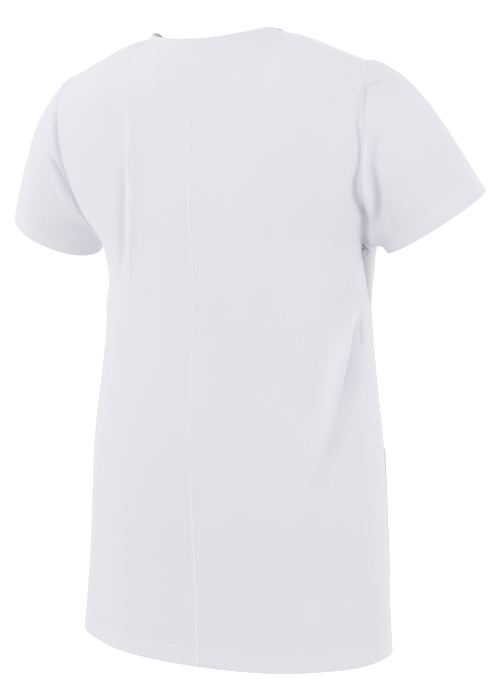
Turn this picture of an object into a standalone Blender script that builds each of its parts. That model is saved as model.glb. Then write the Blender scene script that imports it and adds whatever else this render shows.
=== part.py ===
"""Short-sleeved tunic in its worn, hollow shape, built from the pieces a maker cuts and sews.

Metres, +Z up. The front faces -Y and +X is the wearer's left. The origin lies midway between
the two neck ends of the shoulder seams, where the wearer's shoulders carry the cloth.
One cloth surface is shaped first, with its folds. Each piece is then lifted off it as a
closed wall, so that neighbours meet at their seams with the same edge and the same slant.
"""

import math
from typing import NamedTuple

import bmesh
import bpy
from mathutils import Vector

# Cloth and making
CLOTH = 0.0015  # thickness of one wall
HEM_EXTRA = 0.0009  # what a turned-up hem adds on the inside
SEAM_GAP = 0.0003  # between two pieces that meet
HEM_DEPTH = 0.022
CUFF_HEM_DEPTH = 0.020
WELD = 0.00001

# Main lengths
HEM_HEIGHT = -0.757
UNDERARM_HEIGHT = -0.265
POCKET_TOP_HEIGHT = -0.505
POCKET_BOTTOM_HEIGHT = -0.665
SHOULDER_OUT = 0.213  # from the middle to the tip of the shoulder
LEFT_SHOULDER_DROP = 0.004
NECK_SIDE = Vector((0.085, 0.0, 0.0))
NAPE = Vector((0.0, 0.062, -0.0165))
NAPE_ROUNDNESS = 0.9  # under 1, the back neck runs flatter across and turns faster at its ends
NAPE_DIP = 1.4  # over 1, the back neck's dip keeps to its middle
NECK_POINT_FRONT = Vector((0.0, -0.127, -0.192))
NECK_LEAVES_POINT = Vector((0.075, 0.050, 0.170))  # the V's edge at its lowest point
NECK_MEETS_SHOULDER = Vector((0.085, 0.20, 0.150))

# Mesh fineness
HALF_COLUMNS = 20  # from the middle of a sheet to its side
NECK_COLUMNS = 8  # of those, how many end on the neck edge
YOKE_ROWS = 6
CHEST_ROWS = 7
SLEEVE_ROWS = 13
FRONT_POWER = 2.1
BACK_POWER = 2.25
SMOOTHING_ROUNDS = 2
SMOOTHING_FACTOR = 0.5
SHARP_ANGLE_DEG = 50
POCKET_COLUMNS = (5, 16)
POCKET_SLACK = 0.004
POCKET_SLACK_RISE = 1.5  # over 1, the slack keeps to the pocket's mouth
POCKET_HEM = 0.018


class Section(NamedTuple):
    """The torso's level section: its middle's sideways sway, its half width and its depths."""

    height: float
    sway: float
    half_width: float
    back: float
    front: float


TORSO = (
    Section(-0.780, -0.0195, 0.2175, 0.080, -0.112),
    Section(-0.660, -0.0225, 0.2065, 0.090, -0.125),
    Section(-0.590, -0.023, 0.200, 0.098, -0.135),
    Section(-0.500, -0.023, 0.193, 0.101, -0.140),
    Section(-0.435, -0.024, 0.184, 0.101, -0.138),
    Section(-0.360, -0.0255, 0.1755, 0.101, -0.140),
    Section(-0.300, -0.0265, 0.172, 0.101, -0.148),
    Section(-0.265, -0.0235, 0.180, 0.100, -0.150),
    Section(-0.200, -0.018, 0.186, 0.098, -0.138),
    Section(-0.150, -0.014, 0.188, 0.091, -0.118),
    Section(-0.110, -0.010, 0.188, 0.084, -0.095),
    Section(-0.070, -0.005, 0.188, 0.076, -0.070),
    Section(0.000, 0.000, 0.188, 0.060, 0.000),
)


class ArmholeEdge(NamedTuple):
    """A point of the armhole: how far out and back it lies, and how far round the row turns."""

    height: float
    out: float
    back: float
    turn_deg: float


BACK_ARMHOLE = (
    ArmholeEdge(-0.265, 0.180, 0.000, 90),
    ArmholeEdge(-0.260, 0.184, 0.010, 84),
    ArmholeEdge(-0.248, 0.191, 0.023, 77),
    ArmholeEdge(-0.230, 0.199, 0.036, 71),
    ArmholeEdge(-0.206, 0.204, 0.048, 66),
    ArmholeEdge(-0.178, 0.210, 0.056, 61),
    ArmholeEdge(-0.150, 0.215, 0.059, 58),
    ArmholeEdge(-0.124, 0.217, 0.057, 56),
    ArmholeEdge(-0.100, 0.217, 0.050, 55),
)
FRONT_ARMHOLE = (
    ArmholeEdge(-0.265, 0.180, 0.000, 90),
    ArmholeEdge(-0.261, 0.181, -0.011, 84),
    ArmholeEdge(-0.250, 0.183, -0.024, 77),
    ArmholeEdge(-0.232, 0.183, -0.036, 71),
    ArmholeEdge(-0.208, 0.182, -0.045, 66),
    ArmholeEdge(-0.180, 0.184, -0.049, 61),
    ArmholeEdge(-0.150, 0.188, -0.048, 58),
)
YOKE_MIDDLE_HEIGHT = -0.076

# How a column arrives over the shoulder: how level and how steep it runs at the middle of the
# neck and at its side, and how steep it runs at the shoulder seam
NECK_MIDDLE_ARRIVAL = Vector((0.0, 0.45, 0.90))
NECK_SIDE_ARRIVAL = Vector((0.0, 0.90, 0.35))
SHOULDER_ARRIVAL = Vector((0.0, 1.0, 0.22))

# How far a row runs lower in its middle than at its ends, by the height of its ends
BACK_DROP = ((HEM_HEIGHT, 0.021), (-0.600, 0.006), (-0.450, 0.0))
FRONT_DROP = (
    (HEM_HEIGHT, -0.008),
    (-0.600, -0.002),
    (-0.420, 0.002),
    (-0.340, 0.018),
    (-0.265, 0.052),
    (-0.150, 0.102),
    (0.000, 0.120),
)
DROP_POWER = 1.4  # how much the drop keeps to the middle

# The shoulder seam's height, by its distance from the middle
SHOULDER_SEAM = (
    (0.085, 0.000),
    (0.105, -0.0045),
    (0.130, -0.0120),
    (0.162, -0.0250),
    (0.212, -0.0455),
)

BODY_HEIGHTS = (
    HEM_HEIGHT,
    HEM_HEIGHT + HEM_DEPTH,
    HEM_HEIGHT + HEM_DEPTH + 0.002,
    -0.700,
    POCKET_BOTTOM_HEIGHT,
    -0.633,
    -0.601,
    -0.569,
    -0.537,
    POCKET_TOP_HEIGHT,
    -0.473,
    -0.444,
    -0.416,
    -0.390,
    -0.366,
    -0.344,
    -0.324,
    -0.304,
    -0.284,
    UNDERARM_HEIGHT,
)

class SleeveEnd(NamedTuple):
    """A sleeve's cuff: its middle, the ways to its outer end and to its back, and half sizes."""

    middle: Vector
    to_outer_end: Vector
    to_back: Vector
    half_height: float
    half_depth: float


# The first number of each vector is measured towards the sleeve's own side
SLEEVE_ENDS = {
    "left": SleeveEnd(
        Vector((0.263, -0.030, -0.251)),
        Vector((0.89, -0.06, 0.43)),
        Vector((0.0, 1.0, -0.30)),
        0.0665,
        0.050,
    ),
    "right": SleeveEnd(
        Vector((0.282, -0.030, -0.235)),
        Vector((0.87, -0.06, 0.50)),
        Vector((0.0, 1.0, -0.42)),
        0.070,
        0.052,
    ),
}
SLEEVE_LEAVES_TOP = {"left": Vector((0.88, -0.06, -0.58)), "right": Vector((0.95, -0.06, -0.29))}
SLEEVE_LEAVES_BOTTOM = Vector((0.96, 0.00, -0.28))
HEM_ROW_ROOM = 1.1  # how far above the cuff's hem the row before it lies, in hem depths


FOLD_END_SHARE = 0.35  # how much of a fold's height is left at its ends
FOLD_END_RISE = 2.6  # how fast it comes back from there, by the share of the path


class Fold(NamedTuple):
    """A ridge, or a trough where height is negative, along a path of (turn in degrees, height).

    The turn runs from 0 at the middle of the back to 180 at the middle of the front, and is
    positive on the wearer's left.
    """

    name: str
    path: tuple
    width: float
    height: float


TORSO_FOLDS = (
    Fold(
        "left_back_ridge",
        ((19, -0.10), (19.5, -0.15), (23.5, -0.215), (30, -0.26), (37.5, -0.32)),
        0.010,
        0.0045,
    ),
    Fold("left_back_trough", ((29, -0.15), (33, -0.21), (39, -0.26)), 0.014, -0.0045),
    Fold("right_back_hollow", ((-56, -0.20), (-66, -0.26), (-78, -0.31)), 0.026, -0.0070),
    Fold("right_waist_ridge", ((-90, -0.335), (-74, -0.345)), 0.014, 0.0030),
    Fold("right_hip_ridge", ((-82, -0.35), (-71, -0.385), (-62, -0.44), (-56, -0.485)), 0.012, 0.005),
    Fold("right_hip_trough", ((-82, -0.39), (-69, -0.45), (-60, -0.50), (-49, -0.55)), 0.013, -0.0055),
    Fold("left_waist_ridge", ((84, -0.330), (68, -0.345)), 0.018, 0.0035),
    Fold("left_front_drag", ((118, -0.30), (126, -0.38), (132, -0.46)), 0.016, -0.0040),
    Fold("right_front_drag", ((-120, -0.29), (-128, -0.36), (-133, -0.43)), 0.016, -0.0040),
    Fold("bust_left_hollow", ((146, -0.34), (144, -0.44)), 0.030, -0.0050),
    Fold("bust_right_hollow", ((-147, -0.33), (-144, -0.45)), 0.030, -0.0050),
    Fold("hem_flute_back_left", ((48, -0.60), (52, -0.80)), 0.032, -0.0050),
    Fold("hem_flute_back_right", ((-44, -0.62), (-48, -0.80)), 0.034, -0.0045),
    Fold("hem_flute_front_left", ((128, -0.66), (126, -0.80)), 0.034, -0.0050),
    Fold("hem_flute_front_right", ((-130, -0.66), (-127, -0.80)), 0.034, -0.0045),
)

# On a sleeve the turn runs from 0 at the top, by 90 at the back, to 180 under the arm, and the
# second number is the share of the way from the armhole to the cuff.
SLEEVE_FOLDS = {
    "left": (
        Fold("back_trough", ((84, 0.14), (100, 0.10), (118, 0.10)), 0.009, -0.0055),
        Fold("back_ridge", ((100, 0.24), (122, 0.24), (138, 0.30)), 0.010, 0.0030),
        Fold("under_hollow", ((138, 0.36), (152, 0.46), (172, 0.44)), 0.016, -0.0045),
        Fold("front_trough", ((-92, 0.14), (-112, 0.17), (-130, 0.24)), 0.011, -0.0050),
    ),
    "right": (
        Fold("back_roll", ((70, 0.06), (95, 0.05), (120, 0.08), (144, 0.14)), 0.009, 0.0040),
        Fold(
            "back_trough",
            ((66, 0.19), (86, 0.15), (104, 0.18), (117, 0.28), (132, 0.31), (152, 0.26)),
            0.009,
            -0.0080,
        ),
        Fold("front_trough", ((-80, 0.16), (-106, 0.20), (-128, 0.28)), 0.011, -0.0050),
    ),
}

MATERIALS = {
    "white_cloth": ((0.78, 0.78, 0.82, 1.0), 0.82),
}


# ---------------------------------------------------------------- curves through tables


def smooth(knots, where):
    """The value at a place on a smooth curve through (place, value) knots in rising order."""
    if where <= knots[0][0]:
        return knots[0][1]
    if where >= knots[-1][0]:
        return knots[-1][1]

    def slope(i):
        low, high = max(i - 1, 0), min(i + 1, len(knots) - 1)
        return (knots[high][1] - knots[low][1]) / (knots[high][0] - knots[low][0])

    i = max(k for k, knot in enumerate(knots) if knot[0] <= where)
    (x0, y0), (x1, y1) = knots[i], knots[i + 1]
    span = x1 - x0
    t = (where - x0) / span
    start = y0 * (1 + 2 * t) * (1 - t) ** 2 + slope(i) * span * t * (1 - t) ** 2
    end = y1 * t * t * (3 - 2 * t) + slope(i + 1) * span * t * t * (t - 1)
    return start + end


def column(table, name):
    """One named column of a table of tuples, as (height, value) knots."""
    return [(row.height, getattr(row, name)) for row in table]


def hermite(start, start_pull, end, end_pull, t):
    """A point on the curve that leaves start along one pull and reaches end along the other."""
    return (
        start * ((1 + 2 * t) * (1 - t) ** 2)
        + start_pull * (t * (1 - t) ** 2)
        + end * (t * t * (3 - 2 * t))
        + end_pull * (t * t * (t - 1))
    )


# ---------------------------------------------------------------- torso sheets


class Row(NamedTuple):
    """One row of a sheet: its middle, its ends and how far round it turns."""

    middle_height: float
    edge_height: float
    edge_out: float
    edge_back: float
    turn_deg: float


def torso_rows(side):
    """The rows of a sheet from the hem up to where its columns turn over the shoulder."""
    armhole = BACK_ARMHOLE if side == "back" else FRONT_ARMHOLE
    rows = []
    for height in BODY_HEIGHTS[:-1]:
        drop = smooth(BACK_DROP if side == "back" else FRONT_DROP, height)
        out = smooth(column(TORSO, "half_width"), height)
        rows.append(Row(height - drop, height, out, 0.0, 90))
    top = armhole[-1].height
    for edge in armhole:
        if side == "front":
            middle = edge.height - smooth(FRONT_DROP, edge.height)
        else:
            share = (edge.height - UNDERARM_HEIGHT) / (top - UNDERARM_HEIGHT)
            middle = UNDERARM_HEIGHT + share * (YOKE_MIDDLE_HEIGHT - UNDERARM_HEIGHT)
        rows.append(Row(middle, edge.height, edge.out, edge.back, edge.turn_deg))
    return rows


def row_point(side, row, across):
    """A point on a row, where across runs from -1 at the right end to 1 at the left end."""
    power = 2.0 / (BACK_POWER if side == "back" else FRONT_POWER)
    end = math.radians(row.turn_deg)
    turn = abs(across) * end
    reach = (math.sin(turn) / math.sin(end)) ** power
    end_rise = max(math.cos(end), 0.0) ** power
    rise = (max(math.cos(turn), 0.0) ** power - end_rise) / (1 - end_rise)
    middle_depth = smooth(column(TORSO, side), row.middle_height)
    height = row.edge_height + (row.middle_height - row.edge_height) * rise**DROP_POWER
    return Vector(
        (
            smooth(column(TORSO, "sway"), height) + math.copysign(row.edge_out * reach, across),
            row.edge_back + (middle_depth - row.edge_back) * rise,
            height,
        )
    )


def neck_point(side, share):
    """A point of the neck edge, from the middle at 0 to the shoulder at 1."""
    if side == "back":
        turn = share * math.pi / 2
        return Vector(
            (
                NECK_SIDE.x * math.sin(turn),
                NAPE.y * math.cos(turn) ** NAPE_ROUNDNESS,
                NAPE.z * math.cos(turn) ** NAPE_DIP,
            )
        )
    return hermite(
        NECK_POINT_FRONT, NECK_LEAVES_POINT, NECK_SIDE, NECK_MEETS_SHOULDER, share
    )


def top_point(side, index, sign):
    """Where a column ends: on the neck edge or on the shoulder seam."""
    if index <= NECK_COLUMNS:
        point = neck_point(side, index / NECK_COLUMNS)
    else:
        share = (index - NECK_COLUMNS) / (HALF_COLUMNS - NECK_COLUMNS)
        out = NECK_SIDE.x + (SHOULDER_OUT - NECK_SIDE.x) * share
        drop = LEFT_SHOULDER_DROP * share if sign > 0 else 0.0
        point = Vector((out, 0.0, smooth(SHOULDER_SEAM, out) - drop))
    return Vector((point.x * sign, point.y, point.z))


def shoulder_column(side, last_row, row_below, index, sign, rows):
    """The points of one column over the chest or the yoke, above the last level row."""
    across = sign * index / HALF_COLUMNS
    start = row_point(side, last_row, across)
    end = top_point(side, index, sign)
    reach = (end - start).length
    upward = (start - row_point(side, row_below, across)).normalized()
    arrive = SHOULDER_ARRIVAL.copy()
    if index <= NECK_COLUMNS:
        arrive = NECK_MIDDLE_ARRIVAL.lerp(NECK_SIDE_ARRIVAL, (index / NECK_COLUMNS) ** 2)
    if side == "back":
        arrive.y = -arrive.y
    arrive = arrive.normalized() * reach
    return [hermite(start, upward * reach, end, arrive, k / rows) for k in range(1, rows + 1)]


def sheet_points(side):
    """The whole front or back as rows of points, from the hem to the shoulder and neck."""
    rows = torso_rows(side)
    top_rows = YOKE_ROWS if side == "back" else CHEST_ROWS
    indices = range(-HALF_COLUMNS, HALF_COLUMNS + 1)
    points = [[row_point(side, row, i / HALF_COLUMNS) for i in indices] for row in rows]
    columns = [
        shoulder_column(side, rows[-1], rows[-2], abs(i), -1 if i < 0 else 1, top_rows)
        for i in indices
    ]
    points += [[one[k] for one in columns] for k in range(top_rows)]
    return points


# ---------------------------------------------------------------- sleeves


def armhole_loop(back, front, side):
    """The armhole's points from the shoulder down the back and up the front, with their turns.

    The turn is 0 at the shoulder, 180 under the arm and -180 to 0 up the front.
    """
    edge = -1 if side == "left" else 0
    first = len(BODY_HEIGHTS) - 1
    down_back = [row[edge] for row in reversed(back[first:])]
    up_front = [row[edge] for row in front[first:]]

    def shares(points):
        steps = [(b - a).length for a, b in zip(points, points[1:])]
        return [sum(steps[:k]) / sum(steps) for k in range(len(points))]

    loop = [(point, 180 * share) for point, share in zip(down_back, shares(down_back))]
    front_part = list(zip(up_front, shares(up_front)))[1:]
    return loop + [(point, -180 * (1 - share)) for point, share in front_part]


def own_side(side, vector):
    """A vector given towards a sleeve's own side, on that side."""
    return Vector((vector.x if side == "left" else -vector.x, vector.y, vector.z))


def cuff_point(side, turn_deg):
    """A point of the cuff's edge."""
    cuff = SLEEVE_ENDS[side]
    up = cuff.to_outer_end.normalized()
    back = (cuff.to_back - up * up.dot(cuff.to_back)).normalized()
    turn = math.radians(turn_deg)
    height = up * (cuff.half_height * math.cos(turn))
    depth = back * (cuff.half_depth * math.sin(turn))
    return own_side(side, cuff.middle + height + depth)


def sleeve_point(side, start, turn_deg, along):
    """A point on the sleeve's column that leaves the armhole at start."""
    cuff = SLEEVE_ENDS[side]
    end = cuff_point(side, turn_deg)
    reach = (end - start).length
    top_share = 0.5 + 0.5 * math.cos(math.radians(turn_deg))
    leave = SLEEVE_LEAVES_TOP[side] * top_share + SLEEVE_LEAVES_BOTTOM * (1 - top_share)
    leave = own_side(side, leave.normalized())
    arrive = own_side(side, cuff.to_back.cross(cuff.to_outer_end).normalized())
    return hermite(start, leave * reach, end, arrive * reach, along)


def sleeve_points(loop, side):
    """The sleeve as rings of points, from the armhole to the cuff."""
    length = sum((cuff_point(side, turn) - point).length for point, turn in loop) / len(loop)
    hem_share = CUFF_HEM_DEPTH / length
    last = 1 - HEM_ROW_ROOM * hem_share
    inner = [k / (SLEEVE_ROWS - 2) * last for k in range(SLEEVE_ROWS - 1)]
    alongs = inner + [1 - hem_share, 1.0]
    return [[sleeve_point(side, point, turn, along) for point, turn in loop] for along in alongs]


# ---------------------------------------------------------------- folds


def torso_place(turn_deg, height):
    """The point of the torso at a turn from the middle of the back and a height."""
    side = "back" if abs(turn_deg) <= 90 else "front"
    turn = turn_deg if side == "back" else math.copysign(180 - abs(turn_deg), turn_deg)
    out = smooth(column(TORSO, "half_width"), height)
    row = Row(height, height, out, 0.0, 90)
    if height > UNDERARM_HEIGHT:
        table = BACK_ARMHOLE if side == "back" else FRONT_ARMHOLE
        values = [smooth(column(table, name), height) for name in ("out", "back", "turn_deg")]
        row = Row(height, height, *values)
    return row_point(side, row, turn / row.turn_deg)


def sleeve_place(loop, side, turn_deg, along):
    """The point of a sleeve at a turn round it and a share of its length."""
    knots = sorted(((turn, point) for point, turn in loop), key=lambda knot: knot[0])
    turns = [knot[0] for knot in knots]
    above = next((k for k, turn in enumerate(turns) if turn >= turn_deg), len(turns) - 1)
    below = max(above - 1, 0)
    span = max(turns[above] - turns[below], 1e-6)
    share = min(max((turn_deg - turns[below]) / span, 0.0), 1.0)
    start = knots[below][1].lerp(knots[above][1], share)
    return sleeve_point(side, start, turn_deg, along)


def path_distance(point, path):
    """The distance from a point to a path, and the share of the path where it is nearest."""
    best, where = math.inf, 0.0
    pieces = len(path) - 1
    for k in range(pieces):
        step = path[k + 1] - path[k]
        t = min(max((point - path[k]).dot(step) / step.length_squared, 0.0), 1.0)
        away = (point - path[k] - step * t).length
        if away < best:
            best, where = away, (k + t) / pieces
    return best, where


def fold_height(point, folds):
    """How far the folds lift a point off the smooth form."""
    total = 0.0
    for fold, path in folds:
        away, where = path_distance(point, path)
        if away < 3 * fold.width:
            fade = min(1.0, FOLD_END_SHARE + FOLD_END_RISE * min(where, 1 - where))
            total += fold.height * fade * math.exp(-((away / fold.width) ** 2))
    return total


# ---------------------------------------------------------------- the one cloth surface


def add_patch(cloth, points, closed, piece_of):
    """A grid shaped onto rows of points. piece_of gives a face's piece from its row and column."""
    piece_layer = cloth.faces.layers.int["piece"]
    row_layer = cloth.faces.layers.int["row"]
    column_layer = cloth.faces.layers.int["column"]
    if closed:
        points = [ring + ring[:1] for ring in points]
    rows, columns = len(points) - 1, len(points[0]) - 1
    made = bmesh.ops.create_grid(cloth, x_segments=columns, y_segments=rows, size=1.0)
    faces = {face for vert in made["verts"] for face in vert.link_faces}
    for face in faces:
        centre = face.calc_center_median()
        face[column_layer] = int((centre.x + 1) / 2 * columns)
        face[row_layer] = int((centre.y + 1) / 2 * rows)
        face[piece_layer] = PIECES.index(piece_of(face[row_layer], face[column_layer]))
    for vert in made["verts"]:
        column_at = round((vert.co.x + 1) / 2 * columns)
        row_at = round((vert.co.y + 1) / 2 * rows)
        vert.co = points[row_at][column_at]


def back_piece(row, column_at):
    """Which back piece a face belongs to."""
    if row >= len(BODY_HEIGHTS) + len(BACK_ARMHOLE) - 2:
        return "back_yoke"
    return "back_left" if column_at >= HALF_COLUMNS else "back_right"


PIECES = ("front", "back_left", "back_right", "back_yoke", "sleeve_left", "sleeve_right")


def build_cloth():
    """The whole garment as one welded surface with its folds, each face marked by its piece."""
    cloth = bmesh.new()
    for name in ("piece", "row", "column"):
        cloth.faces.layers.int.new(name)
    back, front = sheet_points("back"), sheet_points("front")
    add_patch(cloth, back, False, back_piece)
    add_patch(cloth, front, False, lambda row, column_at: "front")
    folds = [(f, [torso_place(*place) for place in f.path]) for f in TORSO_FOLDS]
    for side in ("left", "right"):
        loop = armhole_loop(back, front, side)
        name = f"sleeve_{side}"
        add_patch(cloth, sleeve_points(loop[:-1], side), True, lambda row, col, n=name: n)
        folds += [
            (f, [sleeve_place(loop, side, *place) for place in f.path]) for f in SLEEVE_FOLDS[side]
        ]
    bmesh.ops.remove_doubles(cloth, verts=cloth.verts, dist=WELD)
    bmesh.ops.recalc_face_normals(cloth, faces=cloth.faces)
    sleeves = faces_of(cloth, "sleeve_left") | faces_of(cloth, "sleeve_right")
    inner = [v for v in cloth.verts if not v.is_boundary and sleeves.isdisjoint(v.link_faces)]
    for _ in range(SMOOTHING_ROUNDS):
        bmesh.ops.smooth_vert(
            cloth,
            verts=inner,
            factor=SMOOTHING_FACTOR,
            use_axis_x=True,
            use_axis_y=True,
            use_axis_z=True,
        )
    cloth.normal_update()
    lifts = {vert: fold_height(vert.co, folds) for vert in cloth.verts}
    for vert, lift in lifts.items():
        vert.co += vert.normal * lift
    bmesh.ops.triangulate(cloth, faces=cloth.faces, quad_method="SHORT_EDGE")
    cloth.normal_update()
    return cloth


# ---------------------------------------------------------------- walls


def seam_pull(vert, faces):
    """How a piece's edge point draws back from its edges, along the cloth into the piece."""
    inwards = []
    for edge in vert.link_edges:
        own = [face for face in edge.link_faces if face in faces]
        if len(own) == 1:
            along = (edge.other_vert(vert).co - vert.co).normalized()
            inward = own[0].calc_center_median() - vert.co
            inward -= along * inward.dot(along)
            inward -= vert.normal * inward.dot(vert.normal)
            inwards.append(inward.normalized())
    if not inwards:
        return Vector()
    return sum(inwards, Vector()) * (SEAM_GAP / 2 / (1 + inwards[0].dot(inwards[-1])))


def add_wall(name, faces, outer_lift, inner_lift, draw_back=True):
    """A closed wall on faces of the cloth, between two lifts along the shared normals.

    The strips of its rim are cut the same way in both pieces at a seam, so that they stay apart.
    """
    wall = bmesh.new()
    outer, inner = {}, {}
    for vert in sorted({v for face in faces for v in face.verts}, key=lambda v: v.index):
        base = vert.co + (seam_pull(vert, faces) if draw_back else Vector())
        outer[vert] = wall.verts.new(base + vert.normal * outer_lift(vert))
        inner[vert] = wall.verts.new(base + vert.normal * inner_lift(vert))
    for face in sorted(faces, key=lambda f: f.index):
        wall.faces.new([outer[v] for v in face.verts])
        wall.faces.new([inner[v] for v in reversed(face.verts)])
        for loop in face.loops:
            if sum(other in faces for other in loop.edge.link_faces) == 1:
                a, b = loop.vert, loop.link_loop_next.vert
                first, last = (a, b) if a.index < b.index else (b, a)
                wall.faces.new((outer[b], outer[a], inner[last]))
                wall.faces.new((outer[first], inner[a], inner[b]))
    mesh = bpy.data.meshes.new(name)
    wall.to_mesh(mesh)
    wall.free()
    mesh.shade_smooth()
    mesh.set_sharp_from_angle(angle=math.radians(SHARP_ANGLE_DEG))
    mesh.materials.append(cloth_material("white_cloth"))
    piece = bpy.data.objects.new(name, mesh)
    bpy.context.scene.collection.objects.link(piece)
    return piece


def cloth_material(name):
    """The Principled material of a cloth, made once."""
    if name in bpy.data.materials:
        return bpy.data.materials[name]
    colour, roughness = MATERIALS[name]
    material = bpy.data.materials.new(name)
    material.use_nodes = True
    shader = material.node_tree.nodes["Principled BSDF"]
    shader.inputs["Base Color"].default_value = colour
    shader.inputs["Roughness"].default_value = roughness
    shader.inputs["Metallic"].default_value = 0.0
    return material


def faces_of(cloth, piece):
    """The cloth's faces that belong to a piece."""
    layer = cloth.faces.layers.int["piece"]
    return {face for face in cloth.faces if face[layer] == PIECES.index(piece)}


def hem_points(cloth):
    """The points of the turned-up hems: round the body's lower edge and round each cuff."""
    row_layer = cloth.faces.layers.int["row"]
    piece_layer = cloth.faces.layers.int["piece"]
    hems = set()
    for face in cloth.faces:
        is_sleeve = PIECES[face[piece_layer]].startswith("sleeve")
        last = SLEEVE_ROWS - 1 if is_sleeve else 0
        if face[row_layer] == last:
            hems.update(face.verts)
    return hems


def build_garment_pieces(cloth):
    """The six cut pieces, each a wall with its thicker hem where it has one."""
    hems = hem_points(cloth)

    def inside(vert):
        return -(CLOTH + (HEM_EXTRA if vert in hems else 0.0))

    for piece in PIECES:
        add_wall(piece, faces_of(cloth, piece), lambda vert: 0.0, inside)


def build_pocket(cloth, side):
    """A patch pocket on the lower front, a little slack at its mouth and thicker at its hem."""
    row_layer = cloth.faces.layers.int["row"]
    column_layer = cloth.faces.layers.int["column"]
    rows = range(BODY_HEIGHTS.index(POCKET_BOTTOM_HEIGHT), BODY_HEIGHTS.index(POCKET_TOP_HEIGHT))
    near, far = POCKET_COLUMNS
    if side == "left":
        columns = range(HALF_COLUMNS + near, HALF_COLUMNS + far)
    else:
        columns = range(HALF_COLUMNS - far, HALF_COLUMNS - near)
    faces = {
        face
        for face in faces_of(cloth, "front")
        if face[row_layer] in rows and face[column_layer] in columns
    }
    points = {vert for face in faces for vert in face.verts}
    middle = sum((v.co.x for v in points), 0.0) / len(points)
    half = max(abs(v.co.x - middle) for v in points)
    top = max(v.co.z for v in points)
    bottom = min(v.co.z for v in points)

    def slack(vert):
        across = max(0.0, 1 - (abs(vert.co.x - middle) / half) ** 2)
        up = (vert.co.z - bottom) / (top - bottom)
        return POCKET_SLACK * across * up**POCKET_SLACK_RISE

    def outside(vert):
        hem = HEM_EXTRA if top - vert.co.z < POCKET_HEM else 0.0
        return SEAM_GAP + CLOTH + hem + slack(vert)

    add_wall(f"pocket_{side}", faces, outside, lambda vert: SEAM_GAP + slack(vert), False)


def main():
    """Clears the scene and builds every piece."""
    for leftover in list(bpy.data.objects):
        bpy.data.objects.remove(leftover)
    cloth = build_cloth()
    cloth.verts.index_update()
    cloth.faces.index_update()
    build_garment_pieces(cloth)
    for side in ("left", "right"):
        build_pocket(cloth, side)
    cloth.free()


main()
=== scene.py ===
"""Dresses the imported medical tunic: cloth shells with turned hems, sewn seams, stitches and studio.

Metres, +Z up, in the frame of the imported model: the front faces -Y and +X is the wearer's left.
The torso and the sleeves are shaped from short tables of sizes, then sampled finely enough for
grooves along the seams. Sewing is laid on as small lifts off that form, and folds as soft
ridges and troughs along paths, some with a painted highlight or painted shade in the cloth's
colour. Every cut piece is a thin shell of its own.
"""

from __future__ import annotations

import logging
import math
from dataclasses import dataclass, field
from enum import Enum
from typing import Callable, Iterable, NamedTuple, Sequence

import bmesh
import bpy
import numpy as np
from mathutils import Matrix, Vector, noise

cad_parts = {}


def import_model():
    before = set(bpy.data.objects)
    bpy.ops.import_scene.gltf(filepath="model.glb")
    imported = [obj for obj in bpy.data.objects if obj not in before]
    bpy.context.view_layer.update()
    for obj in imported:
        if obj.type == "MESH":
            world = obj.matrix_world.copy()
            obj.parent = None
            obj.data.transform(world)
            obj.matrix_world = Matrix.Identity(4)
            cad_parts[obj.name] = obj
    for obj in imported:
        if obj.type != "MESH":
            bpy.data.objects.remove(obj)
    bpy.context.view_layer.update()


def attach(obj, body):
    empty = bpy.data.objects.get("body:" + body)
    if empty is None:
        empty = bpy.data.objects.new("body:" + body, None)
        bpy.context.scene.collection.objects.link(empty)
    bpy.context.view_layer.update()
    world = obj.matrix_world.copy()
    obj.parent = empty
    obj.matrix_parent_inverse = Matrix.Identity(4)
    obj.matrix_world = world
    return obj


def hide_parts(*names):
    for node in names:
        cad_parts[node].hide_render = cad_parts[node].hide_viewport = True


LOG = logging.getLogger("medical_tunic")
BODY = "root"
SAME_PLACE = 2e-5
WELD_DISTANCE = 1e-5
ROUNDING = 1e-6
MILLIMETRE = 0.001
WHITE = (1.0, 1.0, 1.0, 1.0)
Knots = Sequence[tuple[float, float]]
Colour = tuple[float, float, float, float]


class Side(Enum):
    """The wearer's left or right, with the sign of its X."""

    LEFT = 1
    RIGHT = -1

    @property
    def label(self) -> str:
        """The side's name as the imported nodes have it."""
        return self.name.lower()


class Half(Enum):
    """The back or the front half of the torso."""

    BACK = "back"
    FRONT = "front"


# ---------------------------------------------------------------- curves


def smooth(knots: Knots, where: float) -> float:
    """Read a smooth curve through knots.

    Args:
        knots: (place, value) pairs in rising order of place.
        where: the place to read.

    Returns:
        The value there, held level beyond the ends.
    """
    if where <= knots[0][0]:
        return knots[0][1]
    if where >= knots[-1][0]:
        return knots[-1][1]

    def slope(i: int) -> float:
        """The slope at a knot, from its neighbours."""
        low, high = max(i - 1, 0), min(i + 1, len(knots) - 1)
        return (knots[high][1] - knots[low][1]) / (knots[high][0] - knots[low][0])

    i = max(k for k, knot in enumerate(knots) if knot[0] <= where)
    (x0, y0), (x1, y1) = knots[i], knots[i + 1]
    span = x1 - x0
    t = (where - x0) / span
    start = y0 * (1 + 2 * t) * (1 - t) ** 2 + slope(i) * span * t * (1 - t) ** 2
    end = y1 * t * t * (3 - 2 * t) + slope(i + 1) * span * t * t * (t - 1)
    return start + end


def hermite(start: Vector, start_pull: Vector, end: Vector, end_pull: Vector, t: float) -> Vector:
    """Find a point of the curve between two points that leaves and arrives along given pulls.

    Args:
        start: the first point.
        start_pull: the tangent there.
        end: the last point.
        end_pull: the tangent there.
        t: the share of the way, from 0 to 1.

    Returns:
        The point.
    """
    return (
        start * ((1 + 2 * t) * (1 - t) ** 2)
        + start_pull * (t * (1 - t) ** 2)
        + end * (t * t * (3 - 2 * t))
        + end_pull * (t * t * (t - 1))
    )


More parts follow.
